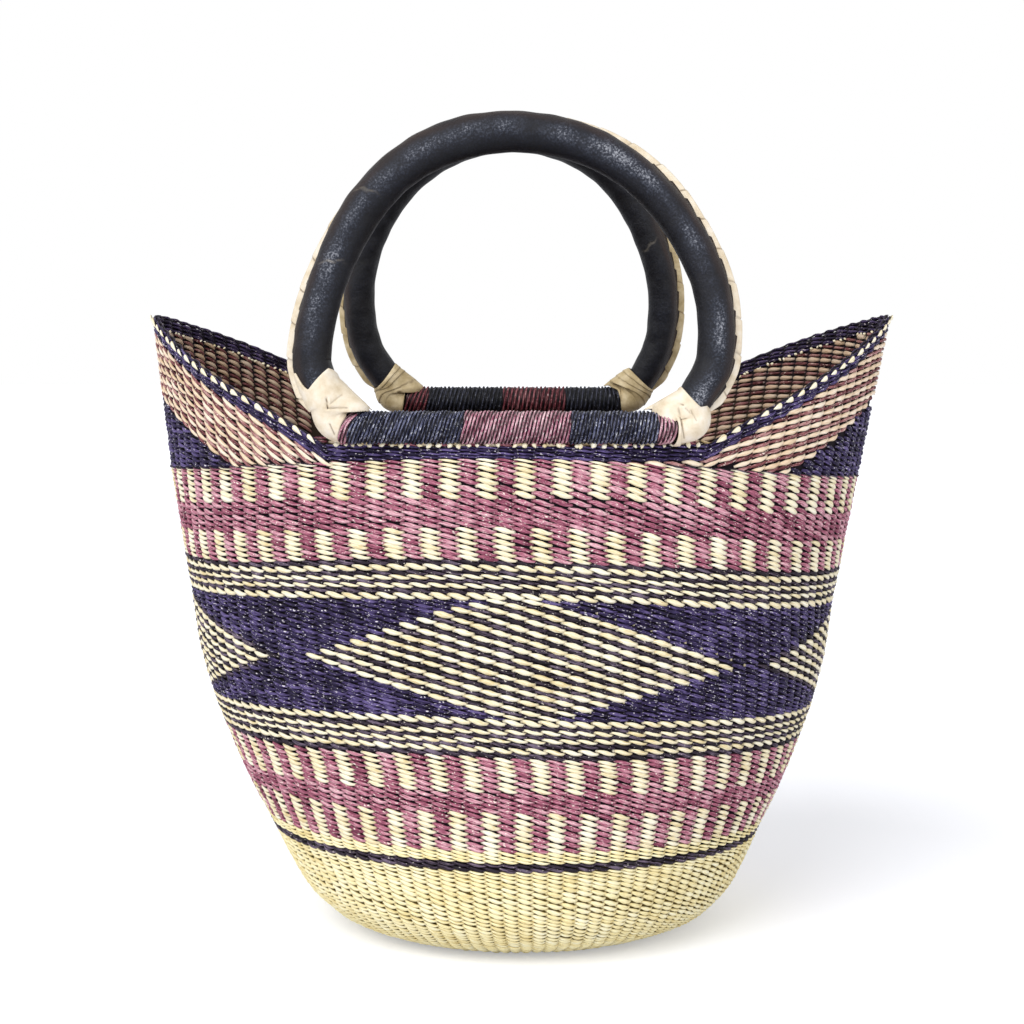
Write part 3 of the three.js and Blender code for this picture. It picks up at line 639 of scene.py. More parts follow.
# A knuckle: for t from -1 to 1 it runs half t along the edge, uphill, and is tall (1 - t^2)^0.5 (0.62 + 0.38
# t) high. Its pointed end droops by droop ((1 - t) / 2)^2.
def addBeads():
    b = beads
    draw = np.random.default_rng(41)
    bead = np.arange(b["count"]) + draw.normal(0, b["stray"], b["count"])
    stake = bead * basketShape["stakes"] / b["count"]
    stake = stake[edgeClear(stake)]
    count, turn = len(stake), edgeTurn(stake)
    down = np.where(readRound(edgeMiddle, turn)[:, 1] < 0, *b["down"])
    point, out, up = (v[:, None] for v in edgeAt(stake, edgeTallAt(stake) - down))
    t = np.linspace(-1, 1, 8)
    grow = 1 + 0.12 * draw.normal(0, 1, (count, 1))
    run = unit(readRound(aroundStep(edgeTop), turn))
    uphill = np.where(run[:, 2:] > 0, 1, -1)  # the blunt end is the higher one
    along = b["half"] * grow * t * uphill
    droop = np.where(point[..., 0] < 0, *b["droop"]) * ((1 - t) / 2) ** 2
    rise = draw.normal(0, 0.25, (count, 1)) * t - droop
    centre = (point + out * (b["stand"] - 0.3 * np.abs(t) ** 3)[:, None] + up * rise[..., None]
              + run[:, None] * along[..., None])
    size = grow * np.sqrt(np.maximum(1 - t ** 2, 0.004)) * (0.62 + 0.38 * t)
    points = ovalTubes(centre, out, size * b["thick"], size * b["tall"])
    # groove darkens each knuckle's hidden sides: painted shade
    obj = addObject("edgeBeads", points, manyTubes(*points.shape[:3]),
                    (t[:, None] * 3, np.sin(sectionAngles(6))),
                    tone=draw.uniform(0.5, 1, count)[:, None, None],
                    groove=smooth(0.3 - np.cos(sectionAngles(6))))
    place(obj, "basket", "natural_straw", straws["cream"], "rim_courses")


# Ends of straw: the stakes' cut ends stand as pale stubs under the bars, and tucked ones lie in a dotted line
# inside, under the edge's rows. "side" is 1 outside the wall.
strays = {
    "stakeStubs": {"seed": 42, "every": 0.5, "stray": 0.12, "kept": 0.9, "widen": 1.07, "below": 0,
                   "scatter": (-0.6, 0.3), "tilt": 0.9, "side": 1, "off": (2.1, 3.0), "thick": 1.1,
                   "taper": 0.75, "grow": (0.7, 1.3), "flat": 1.2, "tone": (0.5, 1), "length": (1.8, 4.0)},
    "tuckedEnds": {"seed": 43, "every": 0.4, "stray": 0.08, "kept": 0.85, "below": edgeRows["band"],
                   "scatter": (-0.3, 0.8), "tilt": 0.7, "side": -1, "off": (1.9, 2.5), "thick": 0.75,
                   "taper": 0.7, "grow": (0.6, 1.3), "flat": 1, "tone": (0.3, 1), "length": 2.2},
}


# A straw's end: a short tube that lies tilted by a random angle, thick (1 - taper |t|^3) for t from -1 to 1
def addStrays(name):
    e = strays[name]
    draw = np.random.default_rng(e["seed"])
    stake = np.arange(0, basketShape["stakes"], e["every"])
    stake = stake + draw.normal(0, e["stray"], len(stake))
    keep = draw.uniform(0, 1, len(stake)) < e["kept"]
    standing = e["side"] > 0
    stake = stake[keep & ~edgeClear(stake, e["widen"]) if standing else keep]
    count = len(stake)
    length = draw.uniform(*e["length"], (count, 1)) if standing else e["length"]
    scatter = e["side"] * draw.uniform(*e["scatter"], count)
    point, out, up = edgeAt(stake, edgeTallAt(stake) - e["below"] + scatter)
    tilt = draw.normal(0, e["tilt"], (count, 1))
    sides = (np.sin(tilt), np.cos(tilt)) if standing else (np.cos(tilt), np.sin(tilt))
    way = unit(np.cross(out, up) * sides[0] + up * sides[1])
    t = np.linspace(-1, 1, 4)
    middle = point + out * e["side"] * draw.uniform(*e["off"], (count, 1))
    centre = middle[:, None] + way[:, None] * (t * length * 0.5)[..., None]
    size = e["thick"] * (1 - e["taper"] * np.abs(t) ** 3) * draw.uniform(*e["grow"], (count, 1))
    points = ovalTubes(centre, out[:, None], size, size * e["flat"], 5)
    obj = addObject(name, points, manyTubes(*points.shape[:3]), ((t * 2)[:, None], np.arange(5) * 0.4),
                    tone=draw.uniform(*e["tone"], count)[:, None, None])
    place(obj, "basket", "natural_straw", straws["cream"], "rim_courses")


addBeads()
addStrays("stakeStubs")
addStrays("tuckedEnds")
print("beads and stubs made")

# Bars: a cord of two twisted straws wound round each one, in blocks of colour, over a dark bed
bars = {
    "y": 122.5, "height": 298.3, "leg": 8, "core": 6.6, "radius": 8.0, "pitch": 2.3, "ply": 0.7,
    "apart": 0.56, "twist": 4.2, "steps": 52, "bed": (7.95, 6.85), "bedEnds": (0.6, 2.2), "bedRings": 60,
    "bedSides": 32,
    "slopes": [-2.2, -0.6, 0.1],  # how far a turn slants at the left end, the middle and the right end
    "front": [("pink", 0, 0.008), ("navy", 0.008, 0.35), ("pink", 0.35, 0.675), ("navy", 0.675, 0.94),
              ("pink", 0.94, 0.997)],
    "back": [("maroon", 0, 0.102), ("navy", 0.102, 0.451), ("maroon", 0.451, 0.744), ("navy", 0.744, 1)],
    # the back's navy cords use a darker copy of the navy cord: painted shade
    "shades": {"front": {"pink": "pink", "navy": "navy"}, "back": {"maroon": "wine", "navy": "navyInShade"}},
    # how much longer the winding is than its core's straight at its left end, and how far its ends draw back
    # at the top
    "longer": {"front": 3, "back": 0}, "bends": {"front": (6, 9), "back": (2, 3)},
}


# Share of its bend by which a winding's end draws back, where it faces forwards by front and upwards by up
def endBend(front, up):
    return (1 - np.maximum(front, 0)) * (0.35 + 0.65 * smooth(0.5 + up))


# Cord round a bar: at turn t its middle is at x = from + pitch t and at an angle of 2 pi t, and its two plies
# circle that middle by angle radius / twist
def addCord(word, handle, n):
    b = bars
    half = handle["span"] - b["leg"]
    colour, fromShare, toShare = b[word][n]
    longer = b["longer"][word]
    begin, end = half * (2 * fromShare - 1) - longer * (fromShare == 0), half * (2 * toShare - 1)
    count = round((end - begin) / b["pitch"])
    turn = np.linspace(0, count, count * b["steps"] + 1)
    angle = fullTurn * turn
    wobble = 0.12 * wave(turn / count, 50 + n, 9, 2) * np.sin(math.pi * turn / count)
    x = begin + (end - begin) * turn / count + wobble
    away = np.stack([np.zeros_like(x), handle["side"] * np.sin(angle), -np.cos(angle)], -1)
    slope = np.cos(angle) * np.interp(x, [-half, 0, half], b["slopes"])
    drawn = endBend(-away[:, 1], away[:, 2])
    slope += drawn * b["bends"][word][0] * smooth(1 - (x + half + longer) / 12)
    slope -= drawn * b["bends"][word][1] * smooth((x - half + 14) / 14)
    middle = away * b["radius"] + np.stack([x + slope, np.zeros_like(x), np.zeros_like(x)], -1)
    middle += np.array([handle["shift"], handle["side"] * b["y"], b["height"]])
    beside = np.cross(unit(np.gradient(middle, axis=0)), away)
    twist = angle * b["radius"] / b["twist"]
    plies = (away * np.cos(twist + k)[:, None] + beside * np.sin(twist + k)[:, None] for k in (0, math.pi))
    centre = np.array([middle + b["apart"] * ply for ply in plies])
    size = np.full(centre.shape[:2], b["ply"])
    points = ovalTubes(centre, away, size, size)
    length = np.cumsum(np.linalg.norm(np.gradient(middle, axis=0), axis=-1))
    # painted shade where a ply faces its fellow or the bar
    facing = (points - centre[..., None, :]) / b["ply"]
    fellow = (facing * unit(centre - middle)[..., None, :]).sum(-1)
    outward = (facing * away[:, None]).sum(-1)
    shade = b["shades"][word][colour]
    tone = 0.5 + 0.4 * wave(turn / count, 60 + n, 25, 3)
    obj = addObject(f"{word}Cord{n + 1}_{shade}", points, manyTubes(*points.shape[:3]),
                    (length[:, None], np.arange(6) * 0.7), tone=tone[:, None],
                    groove=np.maximum(smooth(0.7 - fellow), smooth(0.5 - outward)))
    place(obj, "basket", colour + "_straw", straws[shade], f"{word}_wrap_{n + 1}_{colour}")


# Bed: a sleeve of plain straw between the core and the cords, which fills what shows between them; nearly
# black, painted shade in the gaps
def addBed(word, handle):
    b = bars
    half = handle["span"] - b["leg"]
    angle = sectionAngles(b["bedSides"])
    front, up = -np.sin(angle), np.cos(angle)
    drawn = endBend(-front, up)
    begin = -half - b["longer"][word] + b["bedEnds"][0] + b["bends"][word][0] * drawn
    end = half - b["bedEnds"][1] - b["bends"][word][1] * drawn
    x = begin + (end - begin) * np.linspace(0, 1, b["bedRings"])[:, None]
    outer, inner = (np.stack(np.broadcast_arrays(x + handle["shift"], handle["side"] * b["y"] + r * front,
                                                 b["height"] + r * up), -1) for r in b["bed"])
    obj = addObject(word + "WindingBed", np.concatenate([outer, inner[::-1]]),
                    # groove 0.85 makes the bed nearly black: painted shade
                    tubeFaces(2 * b["bedRings"], b["bedSides"], closed=True), tone=0, groove=0.85)
    place(obj, "basket", "navy_straw", straws["navyInShade"], f"{word}_wrap_2_navy")


for word, handle in handles.items():
    for n in range(len(bars[word])):
        addCord(word, handle, n)
for word, handle in handles.items():
    addBed(word, handle)
print("bars wound")

# Handle rings: the outline is a bar, a rounded corner, an ellipse and the same again mirrored. Above the
# straight share of its height each side is pulled in along half a sine wave. Each leg turns in at its foot by
# its tuck and bows out above by its bow. The seam's angle, in degrees at shares of the outline, is to the
# back at the top and more to the side on the right than on the left.
ringSizes = {"cover": 11.6, "leg": 8.2, "legEnds": (8, 16), "lean": 6, "straight": 0.22,
             "tuckAt": (12, 15), "bowAt": (72, 24),
             "seam": ([0, 0.25, 0.36, 0.455, 0.5, 0.645, 0.74, 1], [20, 14, 15, 40, 44, 43, 26, 20])}


def ringPath(handle):
    span, wide, high, leg = handle["span"], handle["wide"], handle["high"], bars["leg"]
    start = math.acos(span / wide)
    lift = leg / math.hypot(wide * math.sin(start), high * math.cos(start))
    angle = np.linspace(lift - start, math.pi / 2, 400)
    arch = np.stack([wide * np.cos(angle), high * math.sin(start) + high * np.sin(angle)], -1)
    t = np.linspace(0, 1, 60)[:, None]
    begin, bend = np.array([span - leg, 0]), np.array([span, 0])
    corner = (1 - t) ** 2 * begin + 2 * t * (1 - t) * bend + t ** 2 * arch[0]
    half = np.concatenate([[[0, 0]], corner, arch[1:]])
    points = np.concatenate([half, (half[:-1] * [-1, 1])[::-1]])
    left, up, straight = points[:, 0] < 0, points[:, 1], ringSizes["straight"]
    bent = np.clip(up / up.max() - straight, 0, 1) / (1 - straight)
    points[:, 0] += np.where(left, handle["pulls"][0], -handle["pulls"][1]) * np.sin(math.pi * bent)
    left = points[:, 0] < 0
    tuck = np.where(left, handle["tuck"][0], -handle["tuck"][1]) * bell(up, *ringSizes["tuckAt"])
    bow = np.where(left, -handle["bow"][0], handle["bow"][1]) * bell(up, *ringSizes["bowAt"])
    points[:, 0] += (tuck + bow) * smooth(up / 12)
    reach = np.concatenate([[0], np.cumsum(np.linalg.norm(np.diff(points, axis=0), axis=-1))])
    cornerLength = np.linalg.norm(np.diff(corner, axis=0), axis=-1).sum()
    run = unit(np.gradient(points, axis=0) / np.gradient(reach)[:, None])
    return {"points": points, "reach": reach, "length": reach[-1], "barEnd": span - leg,
            "cornerEnd": span - leg + cornerLength, "out": np.stack([run[:, 1], -run[:, 0]], -1)}


def readPath(path, key, at):  # x and y of a ring's points or outward directions at lengths along it
    return [np.interp(at, path["reach"], path[key][:, k]) for k in (0, 1)]


def endDistance(path, at):  # length back to the middle of the bar, the shorter way
    return np.minimum(at, path["length"] - at)


# Points round a ring: at a length along its outline and an angle (0 outwards, then to the back), at a radius
def onRing(handle, path, at, angle, radius):
    middleX, middleZ = readPath(path, "points", at)
    outX, outZ = np.moveaxis(unit(np.stack(readPath(path, "out", at), -1)), -1, 0)
    far = radius * np.cos(angle)
    x, y, z = middleX + outX * far, radius * np.sin(angle), middleZ + outZ * far
    lean = math.radians(handle["side"] * ringSizes["lean"])
    leanY, leanZ = y * math.cos(lean) - z * math.sin(lean), y * math.sin(lean) + z * math.cos(lean)
    return np.stack([x + handle["shift"], leanY + handle["side"] * bars["y"], leanZ + bars["height"]], -1)


def seamAngle(path, at):  # in radians, by the table
    return np.radians(np.interp(at / path["length"], *ringSizes["seam"]))


# Goatskin, dyed black: blue-black, browner outside, pale specks of painted sheen along the crown, cracked
# across
def blackLeather():
    material, tree, shader = newMaterial("blackGoatskinPaintedSheen", 0.5, 0.22)
    crown, rust, crease = (addNode(tree, "Attribute", {}, attribute_name=key).outputs["Fac"]
                           for key in ("crown", "rust", "crease"))
    spot = addNode(tree, "TexCoord", {}).outputs["Object"]
    cloud = addNode(tree, "TexNoise",
                    {"Vector": spot, "Scale": 55, "Detail": 3, "Roughness": 0.55})  # about 18 mm
    grain = addNode(tree, "TexNoise",
                    {"Vector": spot, "Scale": 900, "Detail": 4, "Roughness": 0.7})  # about 1.1 mm
    crownSheen = addNode(tree, "Math", {0: cloud.outputs["Fac"], 1: crown}, operation="MULTIPLY")
    speck = addNode(tree, "MapRange", {"Value": grain.outputs["Fac"], "From Min": 0.42, "From Max": 0.68})
    sheenSpecks = addNode(tree, "Math", {0: speck.outputs[0], 1: crownSheen.outputs[0]}, operation="MULTIPLY")
    total = addNode(tree, "Math", {0: crownSheen.outputs[0], 1: 0.55, 2: sheenSpecks.outputs[0]}, operation="MULTIPLY_ADD")
    ramp = addNode(tree, "ValToRGB", {0: total.outputs[0]})
    rampStops(ramp, [(0.05, "#0d0c0f"), (0.28, "#1c1e27"), (0.5, "#353944"), (0.9, "#9799a1")])
    rusty = addNode(tree, "Mix", {0: rust, 6: ramp.outputs["Color"], 7: srgb("#30231f")}, data_type="RGBA")
    cracked = addNode(tree, "Mix", {0: crease, 6: rusty.outputs[2], 7: srgb("#8c8478")}, data_type="RGBA")
    relief = addNode(tree, "Bump", {"Height": grain.outputs["Fac"], "Strength": 0.6, "Distance": 0.0006})
    folds = addNode(tree, "Bump", {"Height": cloud.outputs["Fac"], "Normal": relief.outputs[0],
                                   "Strength": 0.6, "Distance": 0.003})
    setInputs(shader, {"Base Color": cracked.outputs[2], "Normal": folds.outputs[0]})
    return material


# Undyed goatskin: cream, faintly blotched, matt, with fine creases. The crease attribute darkens it: painted
# shade in the cuffs' creases and folds, and dark joints in the welt
def paleLeather(name, dark, middle, light):
    material, tree, shader = newMaterial(name, 0.6, 0.3)
    spot = addNode(tree, "TexCoord", {}).outputs["Object"]
    crease = addNode(tree, "Attribute", {}, attribute_name="crease").outputs["Fac"]
    cloud = addNode(tree, "TexNoise",
                    {"Vector": spot, "Scale": 130, "Detail": 5, "Roughness": 0.6})  # about 8 mm
    ramp = addNode(tree, "ValToRGB", {0: cloud.outputs["Fac"]})
    rampStops(ramp, [(0.3, dark), (0.5, middle), (0.7, light)])
    # painted shade in cuff creases and folds, dark joints in the welt
    creased = addNode(tree, "Mix", {0: crease, 6: ramp.outputs["Color"], 7: srgb("#6a5238")},
                      data_type="RGBA")
    relief = addNode(tree, "Bump", {"Height": cloud.outputs["Fac"], "Strength": 0.4, "Distance": 0.001})
    setInputs(shader, {"Base Color": creased.outputs[2], "Normal": relief.outputs[0]})
    return material


leathers = {
    "black": blackLeather(),
    "front": paleLeather("undyedGoatskin", "#d4c2a4", "#e6d8c0", "#f0e7d8"),
    "back": paleLeather("shadedGoatskin", "#a8946c", "#c4b18a", "#dccba8"),
}
coverShape = {
    "rings": 420, "sides": 60, "begin": 12, "lump": 0.3, "lumpLength": 210, "wrinkle": 0.16,
    "wrinkleLength": 70, "lip": 1.9, "lipWidth": 0.15, "tongue": 11.5, "crackDeep": 0.45, "crackWide": 0.5,
    # how strongly each ring's crown gets painted sheen
    "crown": {"front": 0.7, "back": 0.1},
    "cracks": {"front": [(0.372, 2.3), (0.64, -1.8), (0.705, -2.0)],
               "back": [(0.3, -2.0)]},  # share and angle
}


# Radius of the leather along a ring: less at the legs than at the top
def coverAt(handle, path, at):
    near = np.interp(at / path["length"], *handle["slim"])
    low, over = ringSizes["legEnds"]
    foot = smooth((endDistance(path, at) - path["barEnd"] - low) / over)
    return (ringSizes["cover"] - 0.1 - near) * foot + ringSizes["leg"] * (1 - foot)


# Leather cover: a tube with slow lumps and short wrinkles, and a scalloped lip on both sides of its seam
def addCover(word, handle, path, seed):
    c = coverShape
    start = path["barEnd"] + c["begin"]
    at = np.linspace(start, path["length"] - start, c["rings"])[:, None]
    share = at / path["length"]
    t = (np.arange(c["sides"]) / c["sides"] * 2 - 1)[None]
    fromSeam = math.pi * (0.45 * t + 0.55 * t ** 3)
    angle = seamAngle(path, at) + fromSeam
    lump = c["lump"] * ripple(at / c["lumpLength"], fromSeam / fullTurn, seed, 12, 3)
    wrinkle = c["wrinkle"] * ripple(at / c["wrinkleLength"], fromSeam / fullTurn, seed + 1, 16, 5)
    scallop = (at / c["tongue"] + 0.35 * wave(share, seed, 9, 2)) % 1  # each tongue laps over the next
    lip = c["lip"] * (0.35 + 0.9 * scallop ** 0.7) * bell(fromSeam, 0, c["lipWidth"])
    lip = lip * smooth((endDistance(path, at) - start - 9) / 8)
    cracks = np.zeros_like(angle)
    for n, (where, middle) in enumerate(c["cracks"][word]):
        line = at - where * path["length"]
        line = line - 2.5 * np.sin(2.2 * (fromSeam - middle)) - 0.8 * np.sin(9 * fromSeam + n)
        cracks += bell(line, 0, c["crackWide"]) * bell(fromSeam, middle, 0.5)
    radius = coverAt(handle, path, at) + lump + wrinkle + lip - c["crackDeep"] * cracks
    # painted sheen on the crown, which faces forwards and a little outwards; the outer side towards the seam
    # is browner
    crown = bell(np.cos(angle), 0.15, 0.55) * smooth(-np.sin(angle) * 1.2)
    crown = (0.22 + c["crown"][word] * crown) * (1 + 0.3 * wave(share, seed + 2, 14, 3))
    cloudy = 0.7 + 0.3 * ripple(at / 90, fromSeam / 3, seed + 3, 10, 4)
    rust = 0.75 * smooth((np.cos(angle) - 0.35) / 0.5) * cloudy
    obj = addObject(word + "Cover", onRing(handle, path, at, angle, radius),
                    tubeFaces(c["rings"], c["sides"]), crown=crown, rust=np.clip(rust, 0, 1),
                    crease=np.clip(0.6 * cracks, 0, 1))
    place(obj, word + "_handle", "black_leather", leathers["black"], word + "_handle_cover")


# Welt: a strip standing on the seam, made of overlapping pieces; its section is given in shares of its width
# and half
welt = {"wide": 4.3, "half": 1.05, "segment": 17, "begin": 17, "rings": 520, "sink": 0.8, "notch": 0.5,
        "section": [[-0.6, 1], [0.35, 1.02], [0.75, 1], [0.97, 0.7], [1, 0], [0.97, -0.7], [0.75, -1],
                    [0.35, -1.02], [-0.6, -1]]}


def addWelt(word, handle, path):
    w = welt
    lap = path["barEnd"] + w["begin"]
    at = np.linspace(lap, path["length"] - lap, w["rings"])[:, None]
    high, beside = np.array(w["section"]).T
    piece = (at - lap) / w["segment"] + 0.12 * high
    joint = np.abs(piece - np.round(piece)) * w["segment"]
    step = piece % 1
    taper = smooth((endDistance(path, at) - lap) / 12)
    far = coverAt(handle, path, at) + w["wide"] * high * (0.93 + 0.09 * step) * (0.25 + 0.75 * taper)
    far = far + w["sink"] - w["notch"] * bell(joint, 0, 0.35)
    beside = w["half"] * beside * (0.8 + 0.25 * step)
    points = onRing(handle, path, at, seamAngle(path, at) + np.arctan2(beside, far), np.hypot(far, beside))
    crease = 0.85 * bell(joint, 0, 0.4) + 0.25 * bell(high, 0.62, 0.08)
    obj = addObject(word + "Welt", points, tubeFaces(*points.shape[:2]), crease=np.clip(crease, 0, 1))
    place(obj, word + "_handle", "cream_leather", leathers[word], word + "_handle_welt")


def grassMaterial():  # dry grass, bundled: dull brown fibres in the gaps' shade
    material, tree, shader = newMaterial("drySheafGrass", 0.85, 0.2)
    spot = addNode(tree, "TexCoord", {})
    fibre = addNode(tree, "TexNoise", {"Vector": spot.outputs["Object"], "Scale": 400, "Detail": 3})
    ramp = addNode(tree, "ValToRGB", {0: fibre.outputs["Fac"]})
    rampStops(ramp, [(0.3, "#17110c"), (0.5, "#2b2117"), (0.7, "#4a3b26")])
    setInputs(shader, {"Base Color": ramp.outputs["Color"]})
    return material


grass = grassMaterial()
grassCore = {"rings": 260, "sides": 24, "swell": 1.4, "swellOver": (6, 18), "ridge": 0.12}


# Core: a closed ring of bundled grass, the bar's radius inside the binding and thicker in the arch, lightly
# ridged
def addCore(word, handle, path):
    g = grassCore
    at = np.linspace(0, path["length"], g["rings"], endpoint=False)[:, None]
    angle = sectionAngles(g["sides"])[None]
    past = endDistance(path, at) - path["barEnd"] - g["swellOver"][0]
    swell = g["swell"] * smooth(past / g["swellOver"][1])
    radius = bars["core"] + swell + g["ridge"] * np.sin(12 * angle + 0.02 * at)
    points = onRing(handle, path, at, angle, radius)
    obj = addObject(word + "GrassCore", points, tubeFaces(g["rings"], g["sides"], closed=True))
    place(obj, word + "_handle", "natural_straw", grass, word + "_handle_core")


# Cuffs: a sleeve of thin leather round each corner, tight on the leg. Its two edges slant. Inside the corner
# it is drawn out into a web that ends in a point over the bar: the web's edge is a line from the leg to the
# bar. Creases are lines too, with a depth. Lines are in mm outwards from the bar's end and upwards from its
# middle. "fall" is how far up the upper edge starts and climbs, the angle of its notch in degrees, and its
# share on the hidden side.
cuffs = {
    "rings": 84, "sides": 96, "thick": 1.0, "overCords": 9.8, "ease": 1.6, "webLimit": 21,
    "front": {
        "left": {"web": ((4, 25.7), (-13, 9.6)), "low": (3.0, 0.9), "fall": (27, 9.5, 222, (0.35, 0.3)),
                 "lap": 12,
                 "creases": [((10.4, 15), (9.8, 9.8), 0.9), ((9.8, 9.8), (0, 10.1), 0.6),
                             ((8.6, 12), (2.5, 17), 0.3), ((8.8, 1.5), (6.5, -4), 0.7)]},
        "right": {"web": ((1.3, 20.9), (-19, 9.4)), "low": (-0.9, 0.6), "fall": (16, 7.5, 180, (0.5, 0.5)),
                  "lap": 0,
                  "creases": [((-2.2, 12.6), (1.2, 11.6), 1.0), ((-1.5, 10.5), (0.8, 1.3), 0.6),
                              ((0.8, 1.3), (2.2, -6), 0.6), ((2.5, 10), (5.5, 7), 0.35),
                              ((5.4, 8.8), (8.6, 3.3), 0.35)]},
    },
    "back": {
        "left": {"web": ((1, 19), (-11, 9.4)), "low": (0.6, 0.8), "fall": (19, 7, 180, (0.5, 0.5)), "lap": 0,
                 "creases": []},
        "right": {"web": ((3, 19), (-10, 9.4)), "low": (0.6, 0.8), "fall": (19, 5, 180, (0.5, 0.5)), "lap": 0,
                  "creases": []},
    },
    # folds of the back cuffs follow the upper edge, and a small knot sits at an angle in degrees
    "foldPitch": 2.9, "foldDeep": 0.5, "foldReach": 13, "knotAngle": 235,
}


def nearLine(x, y, begin, end):  # distance from a line between two points
    ax, ay = end[0] - begin[0], end[1] - begin[1]
    t = np.clip(((x - begin[0]) * ax + (y - begin[1]) * ay) / (ax * ax + ay * ay), 0, 1)
    return np.hypot(x - begin[0] - t * ax, y - begin[1] - t * ay)


def addCuff(word, handle, path, hand, seed):
    c, own, barEnd = cuffs, cuffs[word][hand], path["barEnd"]
    angle = sectionAngles(c["sides"])[None]
    share = np.linspace(0, 1, c["rings"])[:, None]
    inner = -np.cos(angle)  # 1 inside the ring
    # the point of the web lies on the bar, and only there does the cuff start so far in
    spike = np.clip(1 - np.abs(angle - math.pi) / 0.62, 0, 1) ** 1.4
    drawn = endBend(-np.sin(angle), inner) * bars["bends"][word][0 if hand == "left" else 1]
    begin = barEnd + own["low"][0] - own["low"][1] * inner - drawn
    begin = begin + np.minimum(barEnd + own["web"][1][0] - begin, 0) * spike
    low, rise, apex, hidden = own["fall"]
    apex = math.radians(apex)
    seen = np.where(angle > apex, (1 - np.cos(angle)) / (1 - math.cos(apex)), 1 - 0.5 * (apex - angle))
    # on the outer side the edge climbs again to meet the welt
    lap = np.where(angle > math.pi, smooth((angle - math.radians(302)) / 0.7), 1 - smooth(angle / 0.9))
    finish = (barEnd + low + rise * np.where(angle > math.pi, seen, hidden[0] + hidden[1] * inner)
              + own["lap"] * lap)
    at = begin + (finish - begin) * share
    # the side of a left cuff is read from the mirrored end of the ring, where outwards runs the other way
    along, sign = (at, 1) if hand == "right" else (path["length"] - at, -1)
    px, py = readPath(path, "points", along)
    outX, outY = np.moveaxis(unit(np.stack(readPath(path, "out", along), -1)), -1, 0)
    px, outX = sign * px - barEnd, sign * outX
    tube = np.maximum(bars["core"] + c["ease"],
                      coverAt(handle, path, along) + 0.5 * smooth((at - barEnd - 10) / 6))
    (ax, ay), (bx, by) = own["web"]
    mx, my = by - ay, ax - bx  # normal of the web's edge
    away = outX * mx + outY * my
    reach = ((bx - px) * mx + (by - py) * my) / np.where(np.abs(away) < 1e-3, 1e-3, -away)
    keen = bell(angle, math.pi, 0.3 + 0.32 * smooth((at - barEnd + 1) / 8))
    radius = tube + np.maximum(np.clip(reach, 0, c["webLimit"]) - tube, 0) * keen
    radius = np.where(at < barEnd + 0.4, np.maximum(radius, c["overCords"]), radius) + 0.4
    flatX, flatY = px + outX * radius * np.cos(angle), py + outY * radius * np.cos(angle)
    front = smooth(-np.sin(angle) * 4 + 0.6)
    # crease darkens the leather along each crease: painted shade
    crease = np.zeros_like(radius)
    for a, b, depth in own["creases"]:
        off = nearLine(flatX, flatY, a, b)
        radius = radius - front * depth * (0.7 * bell(off, 0, 0.55) - 0.25 * bell(off, 1.5, 0.8))
        crease = np.maximum(crease, front * min(1, depth + 0.1) * bell(off, 0, 0.33))
    if word == "back":
        fromTop = finish - at + 0.5 * np.sin(2 * angle + seed)
        layer = (fromTop / c["foldPitch"]) % 1
        deep = smooth((c["foldReach"] - fromTop) / 4) * smooth((fromTop - 1) / 0.8)
        swirl = np.hypot(at - path["cornerEnd"] + 1, (angle - math.radians(c["knotAngle"])) * 9)
        radius = radius + c["foldDeep"] * layer * deep + 1.2 * bell(swirl, 0, 2.4) - 0.9 * bell(swirl, 0, 0.8)
        # painted shade along the folds' edges and round the knot
        crease = np.maximum(0.6 * bell(layer, 0.96, 0.1) * deep, 0.9 * bell(swirl, 0.5, 0.6))
    radius = radius + 0.12 * ripple(at / 50, angle / fullTurn, seed + 1, 14, 4)
    rim = smooth(share / 0.03) * smooth((1 - share) / 0.03)
    outer = onRing(handle, path, along, angle, radius - c["thick"] * 0.5 * (1 - rim))
    within = onRing(handle, path, along, angle, radius - c["thick"])
    faces = tubeFaces(2 * c["rings"], c["sides"], closed=True)
    if hand == "left":
        faces = [f[:, ::-1] for f in faces]
    crease = np.clip(np.concatenate([crease, np.zeros_like(crease)]), 0, 1)
    obj = addObject(f"{word}Cuff_{hand}", np.concatenate([outer, within[::-1]]), faces, crease=crease)
    place(obj, word + "_handle", "cream_leather", leathers[word], f"{word}_handle_cuff_{hand}")


for n, (word, handle) in enumerate(handles.items()):
    path = ringPath(handle)
    addCover(word, handle, path, 70 + n)
    addWelt(word, handle, path)
    for hand in ("left", "right"):
        addCuff(word, handle, path, hand, 90 + 2 * n + (hand == "left"))
    addCore(word, handle, path)
print("handles made")

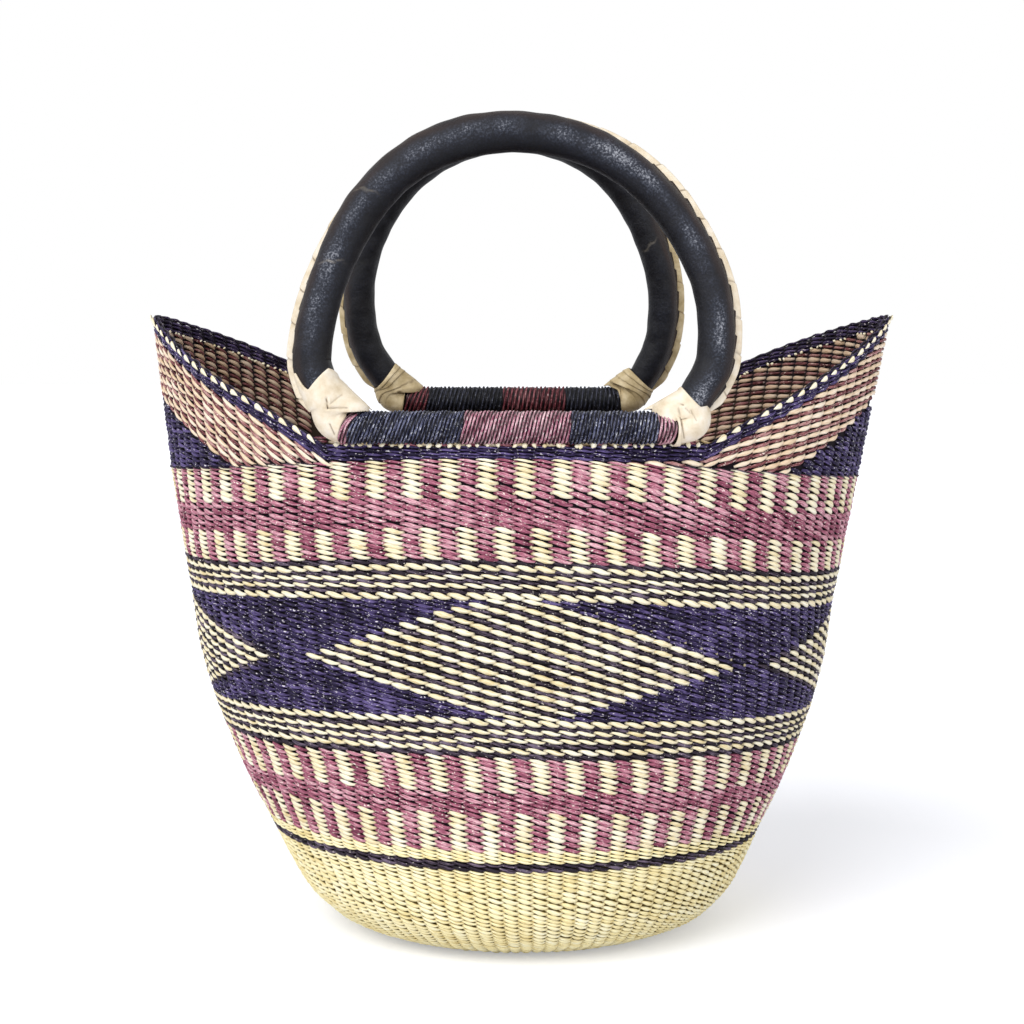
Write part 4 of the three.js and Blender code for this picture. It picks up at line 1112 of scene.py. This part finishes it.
# Light: a broad key from the left and front, weak fill, and a white room that only camera and gloss see
light = {"key": 2.3, "keyAngle": 50, "keyTurn": (52, 0, -36), "fill": 11, "fillSize": (1.4, 1.2),
         "fillPlace": (1.3, -1.6, 0.9), "fillTarget": (0, 0, 0.2), "sky": 0.5, "glow": 0.365,
         "floorHalf": 6000}


def addLamp(name, kind, energy, turn, spot=(0, 0, 0)):  # turned by three angles, at a spot in metres
    lamp = bpy.data.lights.new(name, kind)
    lamp.energy = energy
    obj = bpy.data.objects.new(name, lamp)
    obj.rotation_euler, obj.location = turn, spot
    bpy.context.scene.collection.objects.link(obj)
    return lamp


key = addLamp("keyLamp", "SUN", light["key"], [math.radians(a) for a in light["keyTurn"]])
key.angle = math.radians(light["keyAngle"])  # even over the floor, with soft-edged shadows
away = np.array(light["fillTarget"]) - np.array(light["fillPlace"])
fillTurn = (math.acos(-away[2] / np.linalg.norm(away)), 0, math.atan2(away[1], away[0]) - math.pi / 2)
fill = addLamp("fillLamp", "AREA", light["fill"], fillTurn, light["fillPlace"])
fill.shape, (fill.size, fill.size_y) = "RECTANGLE", light["fillSize"]

world = bpy.data.worlds.new("room")
world.use_nodes = True
bpy.context.scene.world = world
ray = addNode(world.node_tree, "LightPath", {})
seen = addNode(world.node_tree, "Math", {0: ray.outputs["Is Camera Ray"], 1: ray.outputs["Is Glossy Ray"]},
               operation="MAXIMUM")
strength = addNode(world.node_tree, "MapRange",
                   {"Value": seen.outputs[0], "To Min": light["sky"], "To Max": 1})
setInputs(world.node_tree.nodes["Background"], {"Color": srgb("#ffffff"), "Strength": strength.outputs[0]})


def floorMaterial():  # matt white paper that glows a little towards the camera, so that only shadow is grey
    material, tree, shader = newMaterial("whitePaper", 0.9, 0)
    ray = addNode(tree, "LightPath", {})
    glow = addNode(tree, "Math", {0: ray.outputs["Is Camera Ray"], 1: light["glow"]}, operation="MULTIPLY")
    setInputs(shader, {"Base Color": srgb("#eceef5"), "Emission Color": srgb("#ffffff"),
                       "Emission Strength": glow.outputs[0]})
    return material


floorCorners = np.array([[-1, -1, 0], [1, -1, 0], [1, 1, 0], [-1, 1, 0]]) * light["floorHalf"]
floor = addObject("floor", floorCorners, [np.array([[0, 1, 2, 3]])])
floor.data.materials.append(floorMaterial())
